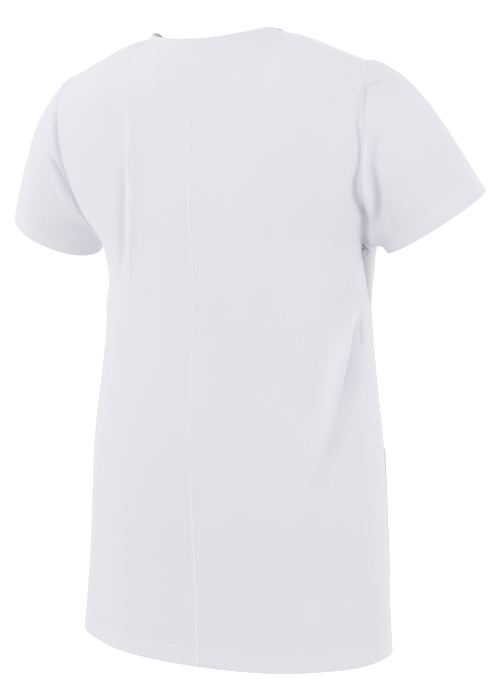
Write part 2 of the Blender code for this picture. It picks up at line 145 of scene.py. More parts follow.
def curve_weights(knots: np.ndarray, stops: np.ndarray) -> np.ndarray:
    """Work out the weights that carry values at knots to a smooth curve's values at stops.

    Args:
        knots: rising places of the known values, in metres.
        stops: places to read, within the knots.

    Returns:
        A matrix of stops by knots.
    """
    count = len(knots)
    slopes = np.zeros((count, count))
    gaps = np.diff(knots)
    for i in range(1, count - 1):
        before, after = gaps[i - 1], gaps[i]
        slopes[i, i - 1] = -after / (before * (before + after))
        slopes[i, i + 1] = before / (after * (before + after))
        slopes[i, i] = -slopes[i, i - 1] - slopes[i, i + 1]
    slopes[0, :2] = (-1 / gaps[0], 1 / gaps[0])
    slopes[-1, -2:] = (-1 / gaps[-1], 1 / gaps[-1])
    at = np.clip(np.searchsorted(knots, stops, side="right") - 1, 0, count - 2)
    span = gaps[at]
    t = (stops - knots[at]) / span
    weights = np.zeros((len(stops), count))
    rows = np.arange(len(stops))
    weights[rows, at] = (1 + 2 * t) * (1 - t) ** 2
    weights[rows, at + 1] = t * t * (3 - 2 * t)
    weights += (span * t * (1 - t) ** 2)[:, None] * slopes[at]
    weights += (span * t * t * (t - 1))[:, None] * slopes[at + 1]
    return weights


def running(gaps: Iterable[float]) -> np.ndarray:
    """The places along a line whose gaps are given, from 0."""
    return np.concatenate(([0.0], np.cumsum(gaps)))


def lengths_along(points: np.ndarray) -> np.ndarray:
    """Each point's distance along a line of points, from 0 at the first."""
    return running(np.linalg.norm(np.diff(points, axis=0), axis=1))


def stops_through(lines: Iterable[float], step: float) -> np.ndarray:
    """Spread stops about a step apart that also meet every given line.

    Args:
        lines: places that need a stop, the first and the last among them.
        step: the wanted distance between stops.

    Returns:
        The stops in rising order.
    """
    marks = sorted(set(round(line, 6) for line in lines))
    stops = [marks[0]]
    for low, high in zip(marks, marks[1:]):
        parts = max(1, round((high - low) / step))
        stops += [low + (high - low) * (k + 1) / parts for k in range(parts)]
    return np.array(stops)


def bump(distance: np.ndarray, width: float) -> np.ndarray:
    """A soft hump of height 1 at distance 0."""
    return np.exp(-((distance / width) ** 2))


def ramp(value: np.ndarray, start: float, end: float) -> np.ndarray:
    """A soft step from 0 at start to 1 at end."""
    t = np.clip((value - start) / (end - start), 0.0, 1.0)
    return t * t * (3 - 2 * t)


# ---------------------------------------------------------------- the worn form


class Section(NamedTuple):
    """A level section of the torso: its middle's sideways sway, its half width and its depths."""

    height: float
    sway: float
    half_width: float
    back: float
    front: float


class ArmholeEdge(NamedTuple):
    """A point of the armhole: how far out and back it lies, and how far round the row turns."""

    height: float
    out: float
    back: float
    turn_deg: float


class Row(NamedTuple):
    """One row of a torso sheet: its middle, its ends and how far round it turns."""

    middle_height: float
    edge_height: float
    edge_out: float
    edge_back: float
    turn_deg: float


SECTIONS = (
    Section(-0.780, -0.0195, 0.2175, 0.080, -0.112),
    Section(-0.660, -0.0225, 0.2065, 0.090, -0.125),
    Section(-0.590, -0.0230, 0.2000, 0.098, -0.135),
    Section(-0.500, -0.0230, 0.1930, 0.101, -0.140),
    Section(-0.435, -0.0240, 0.1840, 0.101, -0.138),
    Section(-0.360, -0.0255, 0.1755, 0.101, -0.140),
    Section(-0.300, -0.0265, 0.1720, 0.101, -0.148),
    Section(-0.265, -0.0235, 0.1800, 0.100, -0.150),
    Section(-0.200, -0.0180, 0.1860, 0.098, -0.138),
    Section(-0.150, -0.0140, 0.1880, 0.091, -0.118),
    Section(-0.110, -0.0100, 0.1880, 0.084, -0.095),
    Section(-0.070, -0.0050, 0.1880, 0.076, -0.070),
    Section(0.000, 0.0000, 0.1880, 0.060, 0.000),
)
ARMHOLES = {
    Half.BACK: (
        ArmholeEdge(-0.265, 0.180, 0.000, 90),
        ArmholeEdge(-0.260, 0.184, 0.010, 84),
        ArmholeEdge(-0.248, 0.191, 0.023, 77),
        ArmholeEdge(-0.230, 0.199, 0.036, 71),
        ArmholeEdge(-0.206, 0.204, 0.048, 66),
        ArmholeEdge(-0.178, 0.210, 0.056, 61),
        ArmholeEdge(-0.150, 0.215, 0.059, 58),
        ArmholeEdge(-0.124, 0.217, 0.057, 56),
        ArmholeEdge(-0.100, 0.217, 0.050, 55),
    ),
    Half.FRONT: (
        ArmholeEdge(-0.265, 0.180, 0.000, 90),
        ArmholeEdge(-0.261, 0.181, -0.011, 84),
        ArmholeEdge(-0.250, 0.183, -0.024, 77),
        ArmholeEdge(-0.232, 0.183, -0.036, 71),
        ArmholeEdge(-0.208, 0.182, -0.045, 66),
        ArmholeEdge(-0.180, 0.184, -0.049, 61),
        ArmholeEdge(-0.150, 0.188, -0.048, 58),
    ),
}
HEM_HEIGHT = -0.757
DROPS = {
    Half.BACK: ((HEM_HEIGHT, 0.021), (-0.600, 0.006), (-0.450, 0.0)),
    Half.FRONT: (
        (HEM_HEIGHT, -0.008),
        (-0.600, -0.002),
        (-0.420, 0.002),
        (-0.340, 0.018),
        (-0.265, 0.052),
        (-0.150, 0.102),
        (0.000, 0.120),
    ),
}
SHOULDER_SEAM = ((0.085, 0.000), (0.105, -0.0045), (0.130, -0.012), (0.162, -0.025), (0.212, -0.0455))


def point(x: float, y: float, z: float) -> Vector:
    """A dataclass field that holds a point or a direction."""
    return field(default_factory=lambda: Vector((x, y, z)))


@dataclass
class TorsoForm:
    """The worn torso: its sections, how its rows drop, its armholes, shoulders and neck."""

    underarm_height: float = -0.265
    yoke_middle_height: float = -0.076
    shoulder_out: float = 0.213
    left_shoulder_drop: float = 0.004
    drop_power: float = 1.4
    roundness: dict[Half, float] = field(default_factory=lambda: {Half.BACK: 2.25, Half.FRONT: 2.1})
    neck_side: Vector = point(0.085, 0.0, 0.0)
    nape: Vector = point(0.0, 0.062, -0.0165)
    nape_roundness: float = 0.9
    nape_dip: float = 1.4
    neck_point: Vector = point(0.0, -0.127, -0.192)
    neck_leaves_point: Vector = point(0.075, 0.050, 0.170)
    neck_meets_shoulder: Vector = point(0.085, 0.20, 0.150)
    neck_middle_arrival: Vector = point(0.0, 0.45, 0.90)
    neck_side_arrival: Vector = point(0.0, 0.90, 0.35)
    shoulder_arrival: Vector = point(0.0, 1.0, 0.22)
    half_columns: int = 20
    neck_columns: int = 8
    body_rows: int = 24
    top_rows: dict[Half, int] = field(default_factory=lambda: {Half.BACK: 6, Half.FRONT: 7})

    def column(self, table: Sequence[NamedTuple], name: str) -> Knots:
        """One named column of a table, as (height, value) knots."""
        return [(row.height, getattr(row, name)) for row in table]

    def rows(self, half: Half) -> list[Row]:
        """List a half's rows from the hem up to where its columns turn over the shoulder.

        Args:
            half: the back or the front.

        Returns:
            The rows, lowest first.
        """
        rows = []
        for step in range(self.body_rows):
            height = HEM_HEIGHT + (self.underarm_height - HEM_HEIGHT) * step / self.body_rows
            out = smooth(self.column(SECTIONS, "half_width"), height)
            rows.append(Row(height - smooth(DROPS[half], height), height, out, 0.0, 90))
        top = ARMHOLES[half][-1].height
        for edge in ARMHOLES[half]:
            middle = edge.height - smooth(DROPS[half], edge.height)
            if half is Half.BACK:
                share = (edge.height - self.underarm_height) / (top - self.underarm_height)
                middle = self.underarm_height * (1 - share) + self.yoke_middle_height * share
            rows.append(Row(middle, edge.height, edge.out, edge.back, edge.turn_deg))
        return rows

    def row_point(self, half: Half, row: Row, across: float) -> Vector:
        """Find a point of a row.

        Args:
            half: the back or the front.
            row: the row.
            across: from -1 at the wearer's right end to 1 at the left end.

        Returns:
            The point.
        """
        power = 2.0 / self.roundness[half]
        end = math.radians(row.turn_deg)
        turn = abs(across) * end
        reach = (math.sin(turn) / math.sin(end)) ** power
        end_rise = max(math.cos(end), 0.0) ** power
        rise = max((max(math.cos(turn), 0.0) ** power - end_rise) / (1 - end_rise), 0.0)
        middle_depth = smooth(self.column(SECTIONS, half.value), row.middle_height)
        height = row.edge_height + (row.middle_height - row.edge_height) * rise**self.drop_power
        sway = smooth(self.column(SECTIONS, "sway"), height)
        out = sway + math.copysign(row.edge_out * reach, across)
        return Vector((out, row.edge_back + (middle_depth - row.edge_back) * rise, height))

    def neck_edge(self, half: Half, share: float) -> Vector:
        """A point of the neck edge, from the middle at 0 to the shoulder at 1."""
        if half is Half.FRONT:
            return hermite(
                self.neck_point, self.neck_leaves_point, self.neck_side, self.neck_meets_shoulder, share
            )
        turn = share * math.pi / 2
        back = self.nape.y * math.cos(turn) ** self.nape_roundness
        dip = self.nape.z * math.cos(turn) ** self.nape_dip
        return Vector((self.neck_side.x * math.sin(turn), back, dip))

    def top_point(self, half: Half, index: int, side: Side) -> Vector:
        """Where a column ends: on the neck edge or on the shoulder seam."""
        if index <= self.neck_columns:
            end = self.neck_edge(half, index / self.neck_columns)
        else:
            share = (index - self.neck_columns) / (self.half_columns - self.neck_columns)
            out = self.neck_side.x + (self.shoulder_out - self.neck_side.x) * share
            drop = self.left_shoulder_drop * share if side is Side.LEFT else 0.0
            end = Vector((out, 0.0, smooth(SHOULDER_SEAM, out) - drop))
        return Vector((end.x * side.value, end.y, end.z))

    def shoulder_points(self, half: Half, rows: list[Row], index: int, side: Side) -> list[Vector]:
        """Follow one column over the shoulder blades or the chest.

        Args:
            half: the back or the front.
            rows: the half's level rows.
            index: the column, counted from the middle.
            side: the side that the column is on.

        Returns:
            Its points above the last level row.
        """
        across = side.value * index / self.half_columns
        start = self.row_point(half, rows[-1], across)
        end = self.top_point(half, index, side)
        reach = (end - start).length
        upward = (start - self.row_point(half, rows[-2], across)).normalized()
        arrive = self.shoulder_arrival.copy()
        if index <= self.neck_columns:
            share = (index / self.neck_columns) ** 2
            arrive = self.neck_middle_arrival.lerp(self.neck_side_arrival, share)
        if half is Half.BACK:
            arrive.y = -arrive.y
        arrive = arrive.normalized() * reach
        count = self.top_rows[half]
        return [hermite(start, upward * reach, end, arrive, (k + 1) / count) for k in range(count)]

    def cage(self, half: Half) -> np.ndarray:
        """A half of the torso as a coarse array of rows by columns of points."""
        rows = self.rows(half)
        indices = range(-self.half_columns, self.half_columns + 1)
        points = [[self.row_point(half, row, i / self.half_columns) for i in indices] for row in rows]
        sides = [Side.RIGHT if i < 0 else Side.LEFT for i in indices]
        tops = [self.shoulder_points(half, rows, abs(i), side) for i, side in zip(indices, sides)]
        points += [[column[k] for column in tops] for k in range(self.top_rows[half])]
        return np.array([[tuple(p) for p in row] for row in points])

    def place(self, turn_deg: float, height: float) -> Vector:
        """Find a point of the torso by its turn and its height.

        Args:
            turn_deg: 0 at the middle of the back, 90 at the left side, -90 at the right side.
            height: the height of the level row.

        Returns:
            The point.
        """
        half = Half.BACK if abs(turn_deg) <= 90 else Half.FRONT
        turn = turn_deg if half is Half.BACK else math.copysign(180 - abs(turn_deg), turn_deg)
        row = Row(height, height, smooth(self.column(SECTIONS, "half_width"), height), 0.0, 90)
        if height > self.underarm_height:
            names = ("out", "back", "turn_deg")
            values = [smooth(self.column(ARMHOLES[half], name), height) for name in names]
            row = Row(height, height, *values)
        return self.row_point(half, row, turn / row.turn_deg)


@dataclass
class SleeveForm:
    """A short sleeve: its cuff's middle and directions, and how it leaves the armhole.

    X is measured towards the sleeve's own side.
    """

    side: Side
    cuff_middle: Vector
    to_outer_end: Vector
    to_back: Vector
    half_height: float
    half_depth: float
    leaves_top: Vector
    leaves_bottom: Vector = point(0.96, 0.0, -0.28)

    def own(self, vector: Vector) -> Vector:
        """A vector given towards the sleeve's own side, on that side."""
        return Vector((vector.x * self.side.value, vector.y, vector.z))

    def cuff(self, turn_deg: float) -> Vector:
        """The point of the cuff's edge at a turn: 0 at the top, 90 at the back, 180 under the arm."""
        up = self.to_outer_end.normalized()
        back = (self.to_back - up * up.dot(self.to_back)).normalized()
        turn = math.radians(turn_deg)
        height = up * (self.half_height * math.cos(turn))
        return self.own(self.cuff_middle + height + back * (self.half_depth * math.sin(turn)))

    def place(self, start: Vector, turn_deg: float, along: float) -> Vector:
        """Find a point of the sleeve.

        Args:
            start: where its column leaves the armhole.
            turn_deg: the column's turn round the sleeve.
            along: the share of the way to the cuff.

        Returns:
            The point.
        """
        end = self.cuff(turn_deg)
        reach = (end - start).length
        top_share = 0.5 + 0.5 * math.cos(math.radians(turn_deg))
        leave = self.leaves_top * top_share + self.leaves_bottom * (1 - top_share)
        leave = self.own(leave.normalized())
        arrive = self.own(self.to_back.cross(self.to_outer_end).normalized())
        return hermite(start, leave * reach, end, arrive * reach, along)


SLEEVES = {
    Side.LEFT: SleeveForm(
        side=Side.LEFT,
        cuff_middle=Vector((0.263, -0.030, -0.251)),
        to_outer_end=Vector((0.89, -0.06, 0.43)),
        to_back=Vector((0.0, 1.0, -0.30)),
        half_height=0.0665,
        half_depth=0.050,
        leaves_top=Vector((0.88, -0.06, -0.58)),
    ),
    Side.RIGHT: SleeveForm(
        side=Side.RIGHT,
        cuff_middle=Vector((0.282, -0.030, -0.235)),
        to_outer_end=Vector((0.87, -0.06, 0.50)),
        to_back=Vector((0.0, 1.0, -0.42)),
        half_height=0.070,
        half_depth=0.052,
        leaves_top=Vector((0.95, -0.06, -0.29)),
    ),
}


# ---------------------------------------------------------------- folds


class Fold(NamedTuple):
    """A ridge, or a trough where height is negative, along a path of places on its form.

    Its last number is painted light in the cloth's colour: a painted highlight that makes its crest
    lighter than the cloth round it above 0, painted shade that makes it darker below 0.
    """

    name: str
    path: tuple[tuple[float, float], ...]
    width: float
    height: float
    # painted light in the cloth's colour: painted highlight on the crest above 0, painted shade below 0
    painted_light: float = 0.0


LEFT_LINE = (
    (17.8, -0.100), (17.2, -0.125), (17.5, -0.161), (20.6, -0.210), (25.2, -0.247), (31.0, -0.281),
    (32.8, -0.300),
)
LEFT_VALLEY = (
    (21.0, -0.173), (24.0, -0.204), (28.0, -0.234), (36.0, -0.268), (41.0, -0.296),
)
RIGHT_ARMHOLE_LINE = (
    (-52.7, -0.098), (-53.3, -0.124), (-57.1, -0.153), (-58.6, -0.170), (-60.3, -0.193),
    (-63.0, -0.206), (-67.6, -0.219), (-73.4, -0.233), (-75.5, -0.242),
)
RIGHT_UNDERARM = (
    (-60.3, -0.190), (-63.0, -0.206), (-67.6, -0.219), (-73.4, -0.233), (-77.5, -0.247),
    (-87.0, -0.262), (-93.0, -0.276), (-97.5, -0.294), (-104.0, -0.322), (-108.0, -0.336),
)
RIGHT_HIP_RIDGE = (
    (-86.0, -0.345), (-75.5, -0.360), (-68.0, -0.384), (-61.0, -0.421), (-55.6, -0.462),
    (-52.2, -0.491), (-49.5, -0.512),
)
RIGHT_HIP_VALLEY = (
    (-87.5, -0.350), (-86.0, -0.376), (-82.0, -0.399), (-76.8, -0.422), (-69.9, -0.447),
    (-65.1, -0.471), (-60.3, -0.494), (-55.7, -0.512), (-53.6, -0.531), (-50.0, -0.546),
)
RIGHT_SLEEVE_VALLEY = (
    (66, 0.17), (77, 0.12), (89, 0.10), (100, 0.13), (109, 0.21), (119, 0.29), (133, 0.32),
    (150, 0.21),
)
RIGHT_WAIST_CREASE = ((-95, -0.326), (-84, -0.327), (-72, -0.330), (-61, -0.336))
RIGHT_SLEEVE_ROLL = ((80, 0.04), (92, 0.04), (103, 0.04), (118, 0.08), (134, 0.17))
LEFT_SLEEVE_CREASE = ((84, 0.10), (93, 0.07), (103, 0.05), (115, 0.04), (125, 0.02))
LEFT_SLEEVE_SEAM = ((52, 0), (70, -0.01), (84, -0.02), (101, -0.02), (116, -0.01), (140, 0))
# Each fold: name, path of (turn, height), width, height, and painted light: painted highlight on its
# crest above 0, painted shade below 0.
TORSO_FOLDS = (
    Fold("left_back_line", LEFT_LINE, 0.0021, 0.0030, 1.9),
    Fold("left_back_ridge", LEFT_LINE, 0.0080, 0.0024),
    Fold("left_back_valley", LEFT_VALLEY, 0.0062, -0.0046),
    Fold("right_armhole_line", RIGHT_ARMHOLE_LINE, 0.0018, -0.0038),
    Fold("right_underarm", RIGHT_UNDERARM, 0.0050, -0.0058, -1.5),
    Fold("right_side_shade", RIGHT_UNDERARM[6:], 0.0075, -0.0075, -3.0),
    Fold("right_back_hollow", ((-43.7, -0.228), (-48, -0.268), (-56, -0.315)), 0.0200, -0.0040),
    Fold("right_waist_swell", ((-78.5, -0.258), (-79.6, -0.284), (-83, -0.306)), 0.0120, 0.0045, 0.3),
    Fold("right_waist_crease", RIGHT_WAIST_CREASE, 0.0065, -0.0036),
    Fold("right_hip_ridge", RIGHT_HIP_RIDGE, 0.0086, 0.0058, 1.0),
    Fold("right_hip_valley", RIGHT_HIP_VALLEY, 0.0086, -0.0084),
    Fold("right_hip_deep", RIGHT_HIP_VALLEY[:5], 0.0105, -0.0046, -0.3),
    Fold("right_hip_hollow", ((-57, -0.385), (-50, -0.44), (-46, -0.485)), 0.0160, -0.0022),
    Fold("right_hip_end", ((-54, -0.546), (-46, -0.556)), 0.0090, -0.0034),
    Fold("left_waist_ridge", ((84, -0.330), (68, -0.345)), 0.0180, 0.0035),
    Fold("left_hip_ridge", ((98, -0.355), (112, -0.39), (123, -0.44), (130, -0.49)), 0.0070, 0.0052),
    Fold("left_hip_valley", ((99, -0.375), (114, -0.416), (125, -0.466), (135, -0.53)), 0.0100, -0.0062),
    Fold("left_front_pull", ((98, -0.272), (112, -0.288), (127, -0.315)), 0.0060, -0.0042),
    Fold("right_front_pull", ((-108, -0.272), (-117, -0.29), (-127, -0.325)), 0.0070, -0.0046),
    Fold("right_front_drag", ((-116, -0.35), (-126, -0.39), (-134, -0.45)), 0.0130, -0.0044),
    Fold("bust_left_hollow", ((146, -0.34), (144, -0.44)), 0.0300, -0.0050),
    Fold("bust_right_hollow", ((-147, -0.33), (-144, -0.45)), 0.0300, -0.0050),
    Fold("front_middle_fall", ((177, -0.36), (174, -0.46), (176, -0.60)), 0.0240, 0.0030),
    Fold("hem_crease", ((50.5, -0.742), (39.9, -0.745), (29.8, -0.742)), 0.0050, -0.0012),
    Fold("hem_flute_back_left", ((48, -0.60), (52, -0.80)), 0.0320, -0.0050),
    Fold("hem_flute_back_right", ((-44, -0.62), (-48, -0.80)), 0.0340, -0.0045),
    Fold("hem_flute_front_left", ((128, -0.66), (126, -0.80)), 0.0340, -0.0050),
    Fold("hem_flute_front_right", ((-130, -0.66), (-127, -0.80)), 0.0340, -0.0045),
)
# Each fold: name, path of (turn round the sleeve, share along it), width, height, and painted light:
# painted highlight on its crest above 0, painted shade below 0.
SLEEVE_FOLDS = {
    Side.LEFT: (
        Fold("seam_line", LEFT_SLEEVE_SEAM, 0.0028, -0.0042),
        Fold("back_crease", LEFT_SLEEVE_CREASE, 0.0032, -0.0074),
        Fold("back_roll", ((100, 0.15), (112, 0.13), (124, 0.13), (138, 0.12)), 0.0046, 0.0028, 0.4),
        Fold("under_hollow", ((142, 0.50), (148, 0.40), (155, 0.33), (166, 0.36)), 0.0110, -0.0070),
        Fold("under_arm", ((160, 0.34), (176, 0.38), (192, 0.40)), 0.0120, -0.0060),
        Fold("front_valley", ((-92, 0.14), (-112, 0.17), (-130, 0.24)), 0.0080, -0.0062),
        Fold("front_roll", ((-84, 0.04), (-108, 0.06), (-126, 0.10)), 0.0070, 0.0030),
        Fold("outer_fall", ((22, 0.46), (44, 0.64), (58, 0.84)), 0.0160, -0.0022),
    ),
    Side.RIGHT: (
        Fold("crescent", ((20, 0.15), (29, 0.05), (39, 0.0), (50, -0.02), (62, -0.03)), 0.0050, -0.0046),
        Fold("back_roll", RIGHT_SLEEVE_ROLL, 0.0055, 0.0038, 0.6),
        Fold("back_valley", RIGHT_SLEEVE_VALLEY, 0.0044, -0.0046),
        Fold("back_deep", RIGHT_SLEEVE_VALLEY[3:], 0.0042, -0.0052),
        Fold("back_swell", ((84, 0.36), (102, 0.44), (110, 0.58)), 0.0180, 0.0026),
        Fold("back_dip", ((126, 0.62), (114, 0.74)), 0.0120, -0.0022),
        Fold("front_valley", ((-80, 0.16), (-106, 0.20), (-128, 0.28)), 0.0080, -0.0060),
        Fold("front_roll", ((-74, 0.05), (-104, 0.07), (-122, 0.12)), 0.0070, 0.0032),
        Fold("outer_fall", ((-20, 0.50), (-38, 0.68), (-50, 0.86)), 0.0160, -0.0026),
    ),
}


@dataclass
class Creasing:
    """Lays folds, some with a painted highlight or painted shade, and a soft unevenness on cloth.

    The unevenness runs longer down the garment than across it, as hanging cloth does.
    """

    folds: list[tuple[Fold, np.ndarray]]
    reach: float = 3.0
    end_share: float = 0.35
    end_rise: float = 2.6
    uneven_height: float = 0.0009
    uneven_across: float = 0.070
    uneven_down: float = 0.210

    def lift_and_painted_light(self, points: np.ndarray) -> np.ndarray:
        """Work out how far each point stands off the smooth form, and how much painted light its colour
        gets.

        Args:
            points: any array of points.

        Returns:
            For each point, its lift along the surface normal in metres, and its painted light: painted
            highlight above 0, painted shade below 0.
        """
        total = np.stack((self.unevenness(points), np.zeros(points.shape[:-1])), axis=-1)
        for fold, path in self.folds:
            reach = fold.width * self.reach
            close = np.all((points > path.min(0) - reach) & (points < path.max(0) + reach), axis=-1)
            if not close.any():
                continue
            away, where = self.nearest(points[close], path)
            fade = np.minimum(1.0, self.end_share + self.end_rise * np.minimum(where, 1 - where))
            strength = fade * bump(away, fold.width)
            # each fold lifts the cloth and adds its painted highlight, or its painted shade where
            # negative
            total[close] += strength[:, None] * (fold.height, fold.painted_light)
        return total

    def nearest(self, points: np.ndarray, path: np.ndarray) -> tuple[np.ndarray, np.ndarray]:
        """Each point's distance to a path, and the share of the path where it is nearest."""
        best = np.full(points.shape[:-1], np.inf)
        where = np.zeros(points.shape[:-1])
        steps = len(path) - 1
        for k in range(steps):
            step = path[k + 1] - path[k]
            t = np.clip((points - path[k]) @ step / (step @ step), 0.0, 1.0)
            away = np.linalg.norm(points - path[k] - t[..., None] * step, axis=-1)
            closer = away < best
            best = np.where(closer, away, best)
            where = np.where(closer, (k + t) / steps, where)
        return best, where

    def unevenness(self, points: np.ndarray) -> np.ndarray:
        """A faint, fixed waviness of the whole cloth."""
        scale = np.array((1 / self.uneven_across, 1 / self.uneven_across, 1 / self.uneven_down))
        flat = (points * scale).reshape(-1, 3)
        values = np.array([noise.noise(Vector(p)) for p in flat])
        return self.uneven_height * values.reshape(points.shape[:-1])


# ---------------------------------------------------------------- cloth patches


@dataclass
class Patch:
    """A grid of cloth points, with its grain and what sewing does to it.

    Args:
        points: rows by columns of points on the cloth's outer face.
        grain: rows by columns of (across, along) in metres, along the threads.
        lift: how far sewing lifts the cloth off its form.
        layers: 0 for one layer of cloth and 1 for two, plus painted highlight on fold crests and pressed
            edges and painted shade in deep folds.
        reverse: whether columns by rows face inwards, so that faces are turned round.
    """

    points: np.ndarray
    grain: np.ndarray
    lift: np.ndarray
    layers: np.ndarray
    reverse: bool
    normals: np.ndarray | None = None

    def own_normals(self) -> np.ndarray:
        """The unit normals of the grid, facing outwards."""
        down = np.gradient(self.points, axis=0)
        across = np.gradient(self.points, axis=1)
        normals = np.cross(across, down) * (-1.0 if self.reverse else 1.0)
        return normals / np.linalg.norm(normals, axis=-1, keepdims=True)

    def changed(self, change: Callable[[np.ndarray], np.ndarray], reverse: bool) -> Patch:
        """The patch with each of its arrays cut or put in another order."""
        arrays = (self.points, self.grain, self.lift, self.layers)
        return Patch(*(change(a) for a in arrays), reverse, change(self.normals))

    def block(self, rows: slice, columns: slice) -> Patch:
        """A part of the patch."""
        return self.changed(lambda a: a[rows, columns], self.reverse)

    def mirrored(self) -> Patch:
        """The patch with its columns in the other order."""
        return self.changed(lambda a: a[:, ::-1], not self.reverse)

    def upside_down(self) -> Patch:
        """The patch with its rows in the other order, facing the same way."""
        return self.changed(lambda a: a[::-1], not self.reverse)

    def on_its_side(self) -> Patch:
        """The patch with its columns as rows."""
        return self.changed(lambda a: np.swapaxes(a, 0, 1), self.reverse)


def share_along_seams(patches: list[Patch], values: list[np.ndarray]) -> list[np.ndarray]:
    """Average values where patches meet, so that both sides of a seam agree.

    Args:
        patches: the patches.
        values: an array of values for each patch.

    Returns:
        The arrays with equal values at equal points.
    """
    places = np.concatenate([p.points.reshape(-1, 3) for p in patches])
    depth = values[0].shape[2:]
    flat = np.concatenate([v.reshape(-1, *depth) for v in values])
    _, where = np.unique(np.round(places / SAME_PLACE), axis=0, return_inverse=True)
    where = where.ravel()
    totals = np.zeros((where.max() + 1, *depth))
    np.add.at(totals, where, flat)
    counts = np.bincount(where).reshape(-1, *([1] * len(depth)))
    flat = (totals / counts)[where]
    ends = np.cumsum([p.points.shape[0] * p.points.shape[1] for p in patches])[:-1]
    return [part.reshape(v.shape) for part, v in zip(np.split(flat, ends), values)]


def laid_on(
    path: np.ndarray, places: np.ndarray, normals: np.ndarray, step: float = 0.005
) -> np.ndarray:
    """Round a path off and lay it on the cloth.

    Args:
        path: a few points near the cloth.
        places: the cloth's points.
        normals: the cloth's normals at those points.
        step: about how far apart the new path's points lie.

    Returns:
        The points of the smooth path, on the cloth.
    """
    lengths = lengths_along(path)
    count = max(2, round(lengths[-1] / step))
    laid = curve_weights(lengths, np.linspace(0.0, lengths[-1], count + 1)) @ path
    for k, at in enumerate(laid):
        nearest = ((places - at) ** 2).sum(axis=1).argmin()
        laid[k] = at - normals[nearest] * ((at - places[nearest]) @ normals[nearest])
    return laid


@dataclass
class Sewing:
    """The sizes of seams, hems and turned edges."""

    groove_width: float = 0.0010
    centre_groove: float = 0.00035
    centre_ridge: float = 0.00045
    # painted highlight along the pressed edge beside the centre back seam
    edge_painted_highlight: float = 1.3
    side_groove: float = 0.00022
    shoulder_groove: float = 0.00030
    yoke_groove: float = 0.00004
    armhole_groove: float = 0.00050
    stitch_width: float = 0.0009
    stitch_depth: float = 0.00012
    allowance: float = 0.0115
    allowance_fade: float = 0.003
    allowance_lift: float = 0.00010
    fold_fade: float = 0.0005
    hem_depth: float = 0.022
    cuff_depth: float = 0.020
    layer_lift: float = 0.0002
    yoke_layers: float = 0.15
    hem_layers: float = 0.30
    roll_lift: float = 0.0010
    roll_place: float = 0.0060
    roll_width: float = 0.0045
    ripple: float = 0.00010
    ripple_length: float = 0.011
    ripple_width: float = 0.006
    corner_sink: float = 0.0030
    corner_width: float = 0.013

    def beside(self) -> tuple[float, ...]:
        """How far from a seam the cloth needs a row or a column to show its groove."""
        return (0.0, self.groove_width * 0.5, self.groove_width, self.groove_width * 2)

    def groove(self, distance: np.ndarray, depth: float) -> np.ndarray:
        """A seam's groove, as a lift below the cloth."""
        return -depth * bump(distance, self.groove_width)

    def beyond(self, place: np.ndarray, edge: float) -> np.ndarray:
        """Where the cloth is turned back: 1 past an edge and 0 before it."""
        return ramp(place, edge - self.fold_fade, edge + self.fold_fade)

    def stitched(self, distance: np.ndarray, along: np.ndarray) -> np.ndarray:
        """The dent of a row of stitches, with the faint ripple that it draws into the cloth."""
        wave = np.sin(along * (2 * math.pi / self.ripple_length)) * self.ripple
        dent = -self.stitch_depth * bump(distance, self.stitch_width)
        return dent + wave * bump(distance, self.ripple_width)


